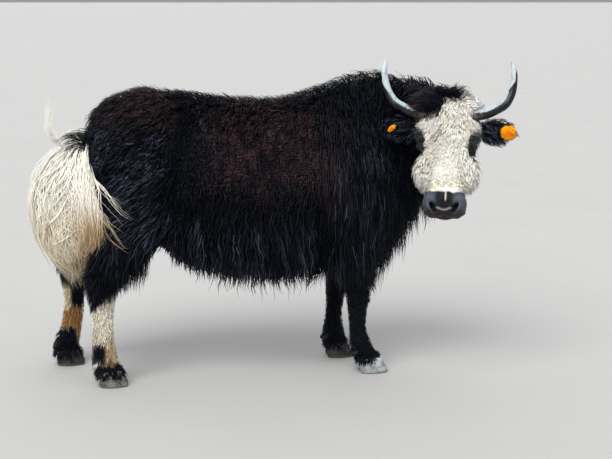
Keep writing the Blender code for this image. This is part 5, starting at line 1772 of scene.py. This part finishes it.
def horn_material(name, sign, sizes):
    """Grey horn, paler towards the tip, with painted light along its upper and inner side and painted shade,
    near black, below.
    """
    finish = Finish(name, IOR=1.5, Specular_IOR_Level=0.32)
    here = finish.place()
    run = finish.attribute("run")
    streaks = finish.cloud(here, 50.0, 3.0, 0.6)
    fine = finish.cloud(here, 420.0, 2.0)
    # Painted light and shade: the side that faces the light is pale, the other near black; the edge between
    # them is set for each horn
    lit_side = finish.attribute("upper")
    pale = finish.mix((0.36, 0.42, 0.45), (0.56, 0.62, 0.64), run.eased(0.45, 0.92))
    pale = finish.mix(pale, (0.13, 0.19, 0.26), streaks.eased(0.46, 0.68) * 0.6)
    dark = finish.mix((0.005, 0.005, 0.007), (0.030, 0.025, 0.023), streaks.eased(0.45, 0.70))
    edge = 0.64 + run.eased(0.15, 0.45) * (0.18 if sign > 0 else 0.06)
    edge = edge - run.eased(*((0.60, 0.78) if sign > 0 else (0.50, 0.72))) * 0.48
    body = finish.mix(dark, pale, (lit_side - edge + (streaks - 0.5) * 0.20).eased(-0.035, 0.045))
    base = run.eased(0.16, 0.02)
    body = finish.mix(body, (0.17, 0.15, 0.13), base * streaks.eased(0.35, 0.6) * 0.6)
    finish.colour(finish.shade(body, fine * 0.5 + 0.75))
    finish.roughness(0.26 + streaks * 0.22)
    rings = (run * sizes.horn_rings + streaks * 0.8).sine() * run.eased(0.50, 0.10)
    finish.bump(rings * 0.5 + fine * 0.35, 0.0012, 0.6)
    return finish.material


def make_horns(sizes):
    """Horns that leave the poll sideways, turn up and forwards, and taper to a point."""
    for name, sign in SIDES.items():
        stations = []
        for side, along, front, half in HORN_STATIONS:
            above = min(along - HORN_STATIONS[0][1], 0.0)
            place = head_point(sign * side + HORN_LEAN * above, along + HORN_STRETCH * above, front)
            stations.append((place, half))
        fine = curve_through(stations, HORN_POINTS)
        last = len(fine) - 1
        path = []
        for i, (point, half) in enumerate(fine):
            share = i / last
            ring = 0.022 * math.sin(share * sizes.horn_rings) * max(0.0, 1.0 - share * 1.6)
            half = max(half, 0.0010) * (1.0 + ring)
            path.append((point, half, half * 0.92))
        horn = sweep("horn_sheath_" + name, path, FRONT, 28)
        places = coordinates(horn.data)[0]
        points = np.array([point for point, _, _ in path])
        nearest = np.argmin(((places[:, None, :] - points[None]) ** 2).sum(axis=2), axis=1)
        # The way towards the light: the side facing it is painted pale, the other dark
        lit_way = (-ALONG * 0.75 - SIDEWAYS * 0.55 * sign + FRONT * 0.35).normalized()
        upper = unit(places - points[nearest]) @ np.array(lit_way)
        add_attribute(horn.data, "run", nearest / last)
        add_attribute(horn.data, "upper", upper * 0.5 + 0.5)
        horn.data.materials.append(horn_material("horn_" + name, sign, sizes))
        finished(horn, "horn", "horn_" + name)


def hoof_material():
    """Slate horn with growth lines and a brownish sole; painted light makes the near feet paler, painted
    shade the far feet near black.
    """
    finish = Finish("hoof_horn", IOR=1.5, Specular_IOR_Level=0.4)
    here = finish.place()
    x, y, z = (here.dot(axis) for axis in (X_AXIS, Y_AXIS, Z_AXIS))
    patches = finish.cloud(here, 40.0, 3.0, 0.6)
    fibres = finish.cloud(here.scaled((1.0, 1.0, 0.12)), 500.0, 2.0)
    # Painted light and shade: paler grey on the near feet, which face the lights, and near black on the far
    # feet; patches and growth lines are the horn's own
    near = finish.mix((0.21, 0.24, 0.26), (0.46, 0.48, 0.46), patches.eased(0.35, 0.65))
    hind = finish.mix((0.070, 0.062, 0.055), (0.20, 0.19, 0.17), patches.eased(0.35, 0.65))
    near = finish.mix(near, hind, x.eased(0.0, -0.1))
    far = finish.mix((0.010, 0.010, 0.011), (0.040, 0.038, 0.036), patches.eased(0.40, 0.65))
    colour = finish.mix(near, far, y.eased(-0.05, 0.05))
    colour = finish.mix(colour, (0.16, 0.13, 0.10), z.eased(0.014, 0.002) * 0.6)
    finish.colour(finish.shade(colour, fibres * 0.6 + 0.65))
    finish.roughness(0.45 + patches * 0.2)
    rings = (z * 900.0 + patches * 5.0).sine()
    finish.bump(rings * 0.4 + fibres * 0.5, 0.0008, 0.6)
    return finish.material


def dewclaw_material():
    """Dark horn, chalky on the near hind foot."""
    finish = Finish("dewclaw_horn", IOR=1.5, Specular_IOR_Level=0.2)
    here = finish.place()
    patches = finish.cloud(here, 60.0, 3.0)
    near_hind = here.dot(X_AXIS).eased(0.0, -0.1) * here.dot(Y_AXIS).eased(0.05, -0.05)
    pale = patches.eased(0.36, 0.56) * near_hind
    finish.colour(finish.mix((0.009, 0.009, 0.010), (0.42, 0.41, 0.38), pale))
    finish.roughness(0.5 + patches * 0.2)
    finish.bump(finish.cloud(here, 400.0, 2.0), 0.0006, 0.6)
    return finish.material


# Rings of a claw from the sole up: height, and shares of its forward reach, length and width
CLAW_RINGS = (
    (0.0000, 1.00, 0.93, 0.86),
    (0.0015, 1.00, 0.99, 0.95),
    (0.0050, 1.00, 1.02, 0.99),
    (0.0150, 0.85, 1.00, 1.00),
    (0.0280, 0.60, 0.95, 0.98),
    (0.0420, 0.30, 0.90, 0.96),
    (0.0560, 0.00, 0.86, 0.93),
    (0.0680, -0.35, 0.80, 0.88),
)
CLAW_HALF_LENGTH = 0.058
CLAW_HALF_WIDTH = 0.0262
CLAW_SPLIT = 0.0020
TOE_REACH = 0.012
DEWCLAW_HEIGHT = 0.105
DEWCLAW_SPREAD = 0.022


def claw(name, x, middle, toe_sign):
    """One half of a hoof: flat inside, rounded outside and pointed at the toe."""
    rings = []
    for height, reach, length, width in CLAW_RINGS:
        centre = Vector((x + TOE_REACH * reach, middle, height))
        across = Vector((CLAW_HALF_LENGTH * length, 0, 0))
        rings.append((centre, across, Vector((0, CLAW_HALF_WIDTH * width, 0)), 0.0))
    made = loft(name, rings, 36)
    places, _ = coordinates(made.data)
    ahead = (places[:, 0] - x) / CLAW_HALF_LENGTH
    off = (places[:, 1] - middle) / CLAW_HALF_WIDTH * toe_sign
    pinch = 1.0 - 0.30 * smooth(ahead, 0.1, 1.2) * (off > 0)
    flatten = np.where(off < 0, np.minimum(np.abs(off) * 1.25, 0.97) / np.maximum(np.abs(off), EPSILON), 1.0)
    places[:, 1] = middle + (places[:, 1] - middle) * pinch * flatten
    places[:, 2] -= np.where(ahead < -0.3, (ahead + 0.3) * -0.010 * (places[:, 2] > 0.03), 0.0)
    places[:, 2] = np.maximum(places[:, 2], 0.0)
    set_coordinates(made.data, places)
    return made


def make_feet():
    """Split hooves and dewclaws on all four feet."""
    horn = hoof_material()
    small = dewclaw_material()
    for leg, (rings, sign) in LEGS.items():
        foot_x, foot_y = rings[SOLE_RING][0], sign * rings[SOLE_RING][1]
        heel_x, heel_y = rings[FETLOCK_RING][0], sign * rings[FETLOCK_RING][1]
        for toe, toe_sign in (("outer", sign), ("inner", -sign)):
            middle = foot_y + toe_sign * (CLAW_HALF_WIDTH + CLAW_SPLIT)
            hoof = claw(f"claw_{leg}_{toe}", foot_x, middle, toe_sign)
            hoof.data.materials.append(horn)
            finished(hoof, "hoof", f"{leg}_hoof_{toe}")
            middle = heel_y + toe_sign * DEWCLAW_SPREAD
            top = Vector((heel_x - 0.024, middle, DEWCLAW_HEIGHT + 0.004))
            tip = Vector((heel_x - 0.064, middle + toe_sign * 0.004, DEWCLAW_HEIGHT - 0.028))
            path = curve_through((
                (top, 0.0150, 0.0120), (top.lerp(tip, 0.5), 0.0150, 0.0115),
                (top.lerp(tip, 0.85), 0.0110, 0.0085), (tip, 0.0030, 0.0025),
            ), 12)
            dew = sweep(f"dewclaw_horn_{leg}_{toe}", path, Vector((1.0, 0.0, 0.3)), 16)
            dew.data.materials.append(small)
            finished(dew, "hoof", f"{leg}_dewclaw_{toe}")


# Ear tassels: how far out on the ear, then radius, moves sideways and along the face, shape and slant
TAG_PLACE = 0.82
TAG_RADII = {"left": 0.034, "right": 0.018}
TAG_SHIFTS = {"left": (0.007, 0.012), "right": (0.005, 0.004)}
TAG_SHAPES = {"left": (1.0, 1.0, 0.66), "right": (0.62, 1.12, 0.66)}
TAG_SLANTS = {"left": 0.0, "right": -0.75}


def yarn_material(look):
    """Orange wool, with painted shade: deeper and redder towards the roots, in the hollows between strands.
    """
    finish = Finish("orange_wool", Roughness=0.85, Specular_IOR_Level=0.2)
    here = finish.here()
    tuft = finish.attribute("tuft")
    share = finish.attribute("share")
    # Painted shade: deeper, redder orange towards the roots of the strands
    colour = finish.mix(look.orange_shade, look.orange, (share * 0.85 + tuft * 0.4).least(1.0))
    finish.colour(colour)
    finish.bump(finish.cloud(here, 1200.0, 2.0), 0.0006, 0.8)
    return finish.material


def make_tassels(look):
    """Round wool tassels tied through the ears near their tips."""
    wool = yarn_material(look)
    draw = np.random.default_rng(16)
    for name, sign in SIDES.items():
        root, tip = ear_line(sign)
        radius = TAG_RADII[name]
        centre = root.lerp(tip, TAG_PLACE) + FRONT * (EAR_HALF_THICKNESS * 0.6 + 0.010)
        centre += SIDEWAYS * TAG_SHIFTS[name][0] + ALONG * TAG_SHIFTS[name][1]
        turn = FRONT.to_track_quat("Z", "Y").to_matrix() @ Matrix.Rotation(TAG_SLANTS[name], 3, "Z")
        count = TASSEL_STRANDS
        i = np.arange(count) + 0.5
        polar = np.arccos(1.0 - 2.0 * i / count)
        spin = math.pi * (1.0 + 5.0 ** 0.5) * i
        rays = np.stack([np.sin(polar) * np.cos(spin), np.sin(polar) * np.sin(spin), np.cos(polar)], axis=1)
        rays = unit(rays + draw.normal(size=rays.shape) * 0.10)
        lumps = 1.0 + 0.13 * cloud(rays, 0.55, 1.0 + sign)
        reach = radius * 1.08 * lumps * draw.uniform(0.88, 1.05, count)
        squash = np.array(TAG_SHAPES[name])
        shares = np.linspace(0.25, 1.0, 6)
        bent = unit(rays + draw.normal(size=rays.shape) * 0.35)
        strays = (bent - rays)[:, None, :] * (shares ** 3)[None, :, None] * 0.35
        spots = rays[:, None, :] * shares[None, :, None] + strays
        spots = (spots * reach[:, None, None] * squash) @ np.array(turn).T + np.array(centre)
        ways = np.broadcast_to(np.array(ALONG), spots.shape).copy()
        width = draw.uniform(0.055, 0.080, count) * radius
        parts = np.full(count, EAR_LEFT if sign > 0 else EAR_RIGHT)
        tassel = tuft_mesh("tassel_strands_" + name, spots, ways, width, spots[:, -1], parts, draw, 0.75)
        tassel.data.materials.append(wool)
        finished(tassel, "orange_yarn", "ear_tassel_" + name, move=False)


# Stage

def make_stage(look):
    """A pale floor, soft lights and the photo's camera."""
    scene = bpy.context.scene
    bm = bmesh.new()
    bmesh.ops.create_grid(bm, x_segments=8, y_segments=8, size=FLOOR_REACH)
    floor = object_from("floor", bm)
    finish = Finish("pale_floor", Roughness=0.9, Specular_IOR_Level=0.2)
    grain = finish.cloud(finish.here(), 1.5, 2.0)
    finish.colour(finish.mix((0.37, 0.365, 0.355), (0.40, 0.395, 0.385), grain))
    floor.data.materials.append(finish.material)
    world = bpy.data.worlds.new("studio")
    scene.world = world
    world.use_nodes = True
    background = world.node_tree.nodes["Background"]
    background.inputs["Color"].default_value = (0.86, 0.92, 1.0, 1.0)
    background.inputs["Strength"].default_value = look.world
    for name, way, spread, share in (
        ("key", (0.38, 0.66, -0.80), 40.0, 1.0),
        ("top", (0.05, 0.10, -1.0), 90.0, 0.45),
        ("fill", (-0.80, 0.60, -0.45), 90.0, 0.14),
        ("rim", (0.05, -0.85, -0.55), 70.0, 0.30),
    ):
        lamp = bpy.data.lights.new(name, "SUN")
        lamp.angle = math.radians(spread)
        lamp.energy = look.key * share
        obj = bpy.data.objects.new(name, lamp)
        scene.collection.objects.link(obj)
        obj.rotation_euler = Vector(way).to_track_quat("-Z", "Y").to_euler()
    camera = bpy.data.cameras.new("camera")
    camera.lens = CAMERA_LENS
    camera.sensor_width = CAMERA_SENSOR
    camera.sensor_fit = "HORIZONTAL"
    eye = bpy.data.objects.new("camera", camera)
    scene.collection.objects.link(eye)
    eye.location = CAMERA_PLACE + SHIFT
    eye.rotation_euler = CAMERA_AIM.to_track_quat("-Z", "Y").to_euler()
    scene.camera = eye
    scene.view_settings.view_transform = "Standard"
    scene.view_settings.exposure = 0.0


# Settings that a user would change

def colour_property(name, description, default):
    return bpy.props.FloatVectorProperty(
        name=name, description=description, default=default, subtype="COLOR", size=3, min=0.0, max=1.0,
    )


def length_property(name, description, default):
    return bpy.props.FloatProperty(
        name=name, description=description, default=default, subtype="DISTANCE", unit="LENGTH", min=0.001,
    )


def number_property(name, description, default):
    return bpy.props.FloatProperty(name=name, description=description, default=default)


class YakSizes(bpy.types.PropertyGroup):
    """Sizes of the skin's mesh and of the coat."""

    body_voxel: length_property("Body detail", "Grid on which the body's forms melt together", 0.010)
    head_voxel: length_property("Head detail", "Grid on which the head's forms melt together", 0.0038)
    guide_spacing: length_property("Lock spacing", "Distance between neighbouring locks of the coat", 0.0212)
    length: number_property("Coat length", "Share of the coat's full length", 1.0)
    face_length: number_property("Face wool", "Share of the face's full wool", 1.0)
    horn_rings: number_property("Horn rings", "Growth rings, as turns of a wave", 120.0)


class YakLook(bpy.types.PropertyGroup):
    """Colours of the coat, and the strength of the lights."""

    black: colour_property("Black", "Black hair", (0.0034, 0.0037, 0.0056))
    brown: colour_property("Brown", "Hair that the sun has browned", (0.036, 0.0180, 0.0180))
    # Painted blue sheen of the black hair
    blue: colour_property("Blue", "Black hair that shines blue", (0.060, 0.067, 0.096))
    grey: colour_property("Grey", "Pale hair by the left horn", (0.42, 0.42, 0.44))
    rust: colour_property("Rust", "Browned hair over the right horn", (0.078, 0.042, 0.036))
    white: colour_property("White", "White wool", (0.97, 0.935, 0.84))
    cream: colour_property("Cream", "Cream hair", (0.82, 0.71, 0.48))
    tan: colour_property("Tan", "Tan hair", (0.50, 0.35, 0.17))
    tail_tan: colour_property("Tail tan", "Stained hair of the tail", (0.44, 0.27, 0.09))
    deep_tan: colour_property("Deep tan", "Tan band of the far hind leg", (0.36, 0.19, 0.06))
    stain: colour_property("Stain", "Soft stain of the lower face", (0.66, 0.58, 0.42))
    stain_dark: colour_property("Dark stain", "Brown spots of the forehead", (0.28, 0.17, 0.09))
    slate: colour_property("Slate", "Bare skin of the muzzle", (0.009, 0.0085, 0.010))
    # Also painted as highlights on the brow ridges
    slate_pale: colour_property("Pale slate", "Bare skin beside the nostrils", (0.082, 0.090, 0.110))
    slate_brown: colour_property("Brown slate", "Bare skin of the lips", (0.034, 0.026, 0.022))
    lip: colour_property("Lip", "Hair of the lower lip", (0.30, 0.24, 0.15))
    sheen: colour_property("Sheen", "Tint of the hair's gloss", (0.62, 0.80, 1.0))
    orange: colour_property("Orange", "Tips of the tassels' wool", (1.0, 0.42, 0.006))
    # Painted shade at the roots of the tassels' wool
    orange_shade: colour_property("Deep orange", "Roots of the tassels' wool", (0.95, 0.24, 0.003))
    gloss: number_property("Gloss", "Roughness of the black hair", 0.34)
    key: number_property("Key light", "Strength of the main light", 3.3)
    world: number_property("Sky", "Strength of the light from all round", 0.36)


# Operators

def sizes_of(context):
    return context.scene.yak_sizes


def look_of(context):
    return context.scene.yak_look


class YAK_OT_skin(bpy.types.Operator):
    """Build the skin, from the muzzle to the tail"""
    bl_idname = "yak.skin"
    bl_label = "Skin"

    def execute(self, context):
        skin = make_skin(sizes_of(context))
        paint_skin(skin, look_of(context))
        finished(skin, "black_coat", *SKIN_PARTS)
        return {"FINISHED"}


class YAK_OT_eyes(bpy.types.Operator):
    """Set the eyes between their lids"""
    bl_idname = "yak.eyes"
    bl_label = "Eyes"

    def execute(self, context):
        make_eyes()
        return {"FINISHED"}


class YAK_OT_horns(bpy.types.Operator):
    """Build both horns"""
    bl_idname = "yak.horns"
    bl_label = "Horns"

    def execute(self, context):
        make_horns(sizes_of(context))
        return {"FINISHED"}


class YAK_OT_feet(bpy.types.Operator):
    """Build the hooves and the dewclaws"""
    bl_idname = "yak.feet"
    bl_label = "Feet"

    def execute(self, context):
        make_feet()
        return {"FINISHED"}


class YAK_OT_tassels(bpy.types.Operator):
    """Tie the wool tassels in the ears"""
    bl_idname = "yak.tassels"
    bl_label = "Ear tassels"

    def execute(self, context):
        make_tassels(look_of(context))
        return {"FINISHED"}


class YAK_OT_trunk_coat(bpy.types.Operator):
    """Grow the coat of the trunk, neck and upper legs"""
    bl_idname = "yak.trunk_coat"
    bl_label = "Trunk coat"

    def execute(self, context):
        make_trunk_coat(sizes_of(context), look_of(context))
        return {"FINISHED"}


class YAK_OT_leg_coat(bpy.types.Operator):
    """Grow the short hair of the shanks"""
    bl_idname = "yak.leg_coat"
    bl_label = "Shank coat"

    def execute(self, context):
        make_leg_coat(look_of(context))
        return {"FINISHED"}


class YAK_OT_face_coat(bpy.types.Operator):
    """Grow the wool of the face, the shock on the poll and the ears' fringes"""
    bl_idname = "yak.face_coat"
    bl_label = "Face coat"

    def execute(self, context):
        make_face_coat(sizes_of(context), look_of(context))
        make_head_fringes(look_of(context))
        return {"FINISHED"}


class YAK_OT_tail_coat(bpy.types.Operator):
    """Grow the full hair of the tail"""
    bl_idname = "yak.tail_coat"
    bl_label = "Tail coat"

    def execute(self, context):
        make_tail_coat(look_of(context))
        return {"FINISHED"}


class YAK_OT_stage(bpy.types.Operator):
    """Set the floor, the lights and the camera"""
    bl_idname = "yak.stage"
    bl_label = "Stage"

    def execute(self, context):
        make_stage(look_of(context))
        return {"FINISHED"}


class YAK_PT_panel(bpy.types.Panel):
    """The yak's pieces and settings"""
    bl_idname = "YAK_PT_panel"
    bl_label = "Yak"
    bl_space_type = "VIEW_3D"
    bl_region_type = "UI"
    bl_category = "Yak"

    def draw(self, context):
        for maker in MAKERS:
            self.layout.operator(maker.bl_idname)
        for group in (sizes_of(context), look_of(context)):
            box = self.layout.box()
            for key in group.bl_rna.properties.keys():
                if key not in ("rna_type", "name"):
                    box.prop(group, key)


MAKERS = (
    YAK_OT_skin, YAK_OT_eyes, YAK_OT_horns, YAK_OT_feet, YAK_OT_tassels,
    YAK_OT_trunk_coat, YAK_OT_leg_coat, YAK_OT_face_coat, YAK_OT_tail_coat, YAK_OT_stage,
)
CLASSES = (YakSizes, YakLook, *MAKERS, YAK_PT_panel)


def register():
    for cls in CLASSES:
        bpy.utils.register_class(cls)
    bpy.types.Scene.yak_sizes = bpy.props.PointerProperty(type=YakSizes)
    bpy.types.Scene.yak_look = bpy.props.PointerProperty(type=YakLook)


def unregister():
    del bpy.types.Scene.yak_look
    del bpy.types.Scene.yak_sizes
    for cls in reversed(CLASSES):
        bpy.utils.unregister_class(cls)


def main():
    register()
    bpy.ops.yak.skin()
    bpy.ops.yak.eyes()
    bpy.ops.yak.horns()
    bpy.ops.yak.feet()
    bpy.ops.yak.tassels()
    bpy.ops.yak.trunk_coat()
    bpy.ops.yak.leg_coat()
    bpy.ops.yak.face_coat()
    bpy.ops.yak.tail_coat()
    bpy.ops.yak.stage()


if __name__ == "__main__":
    main()
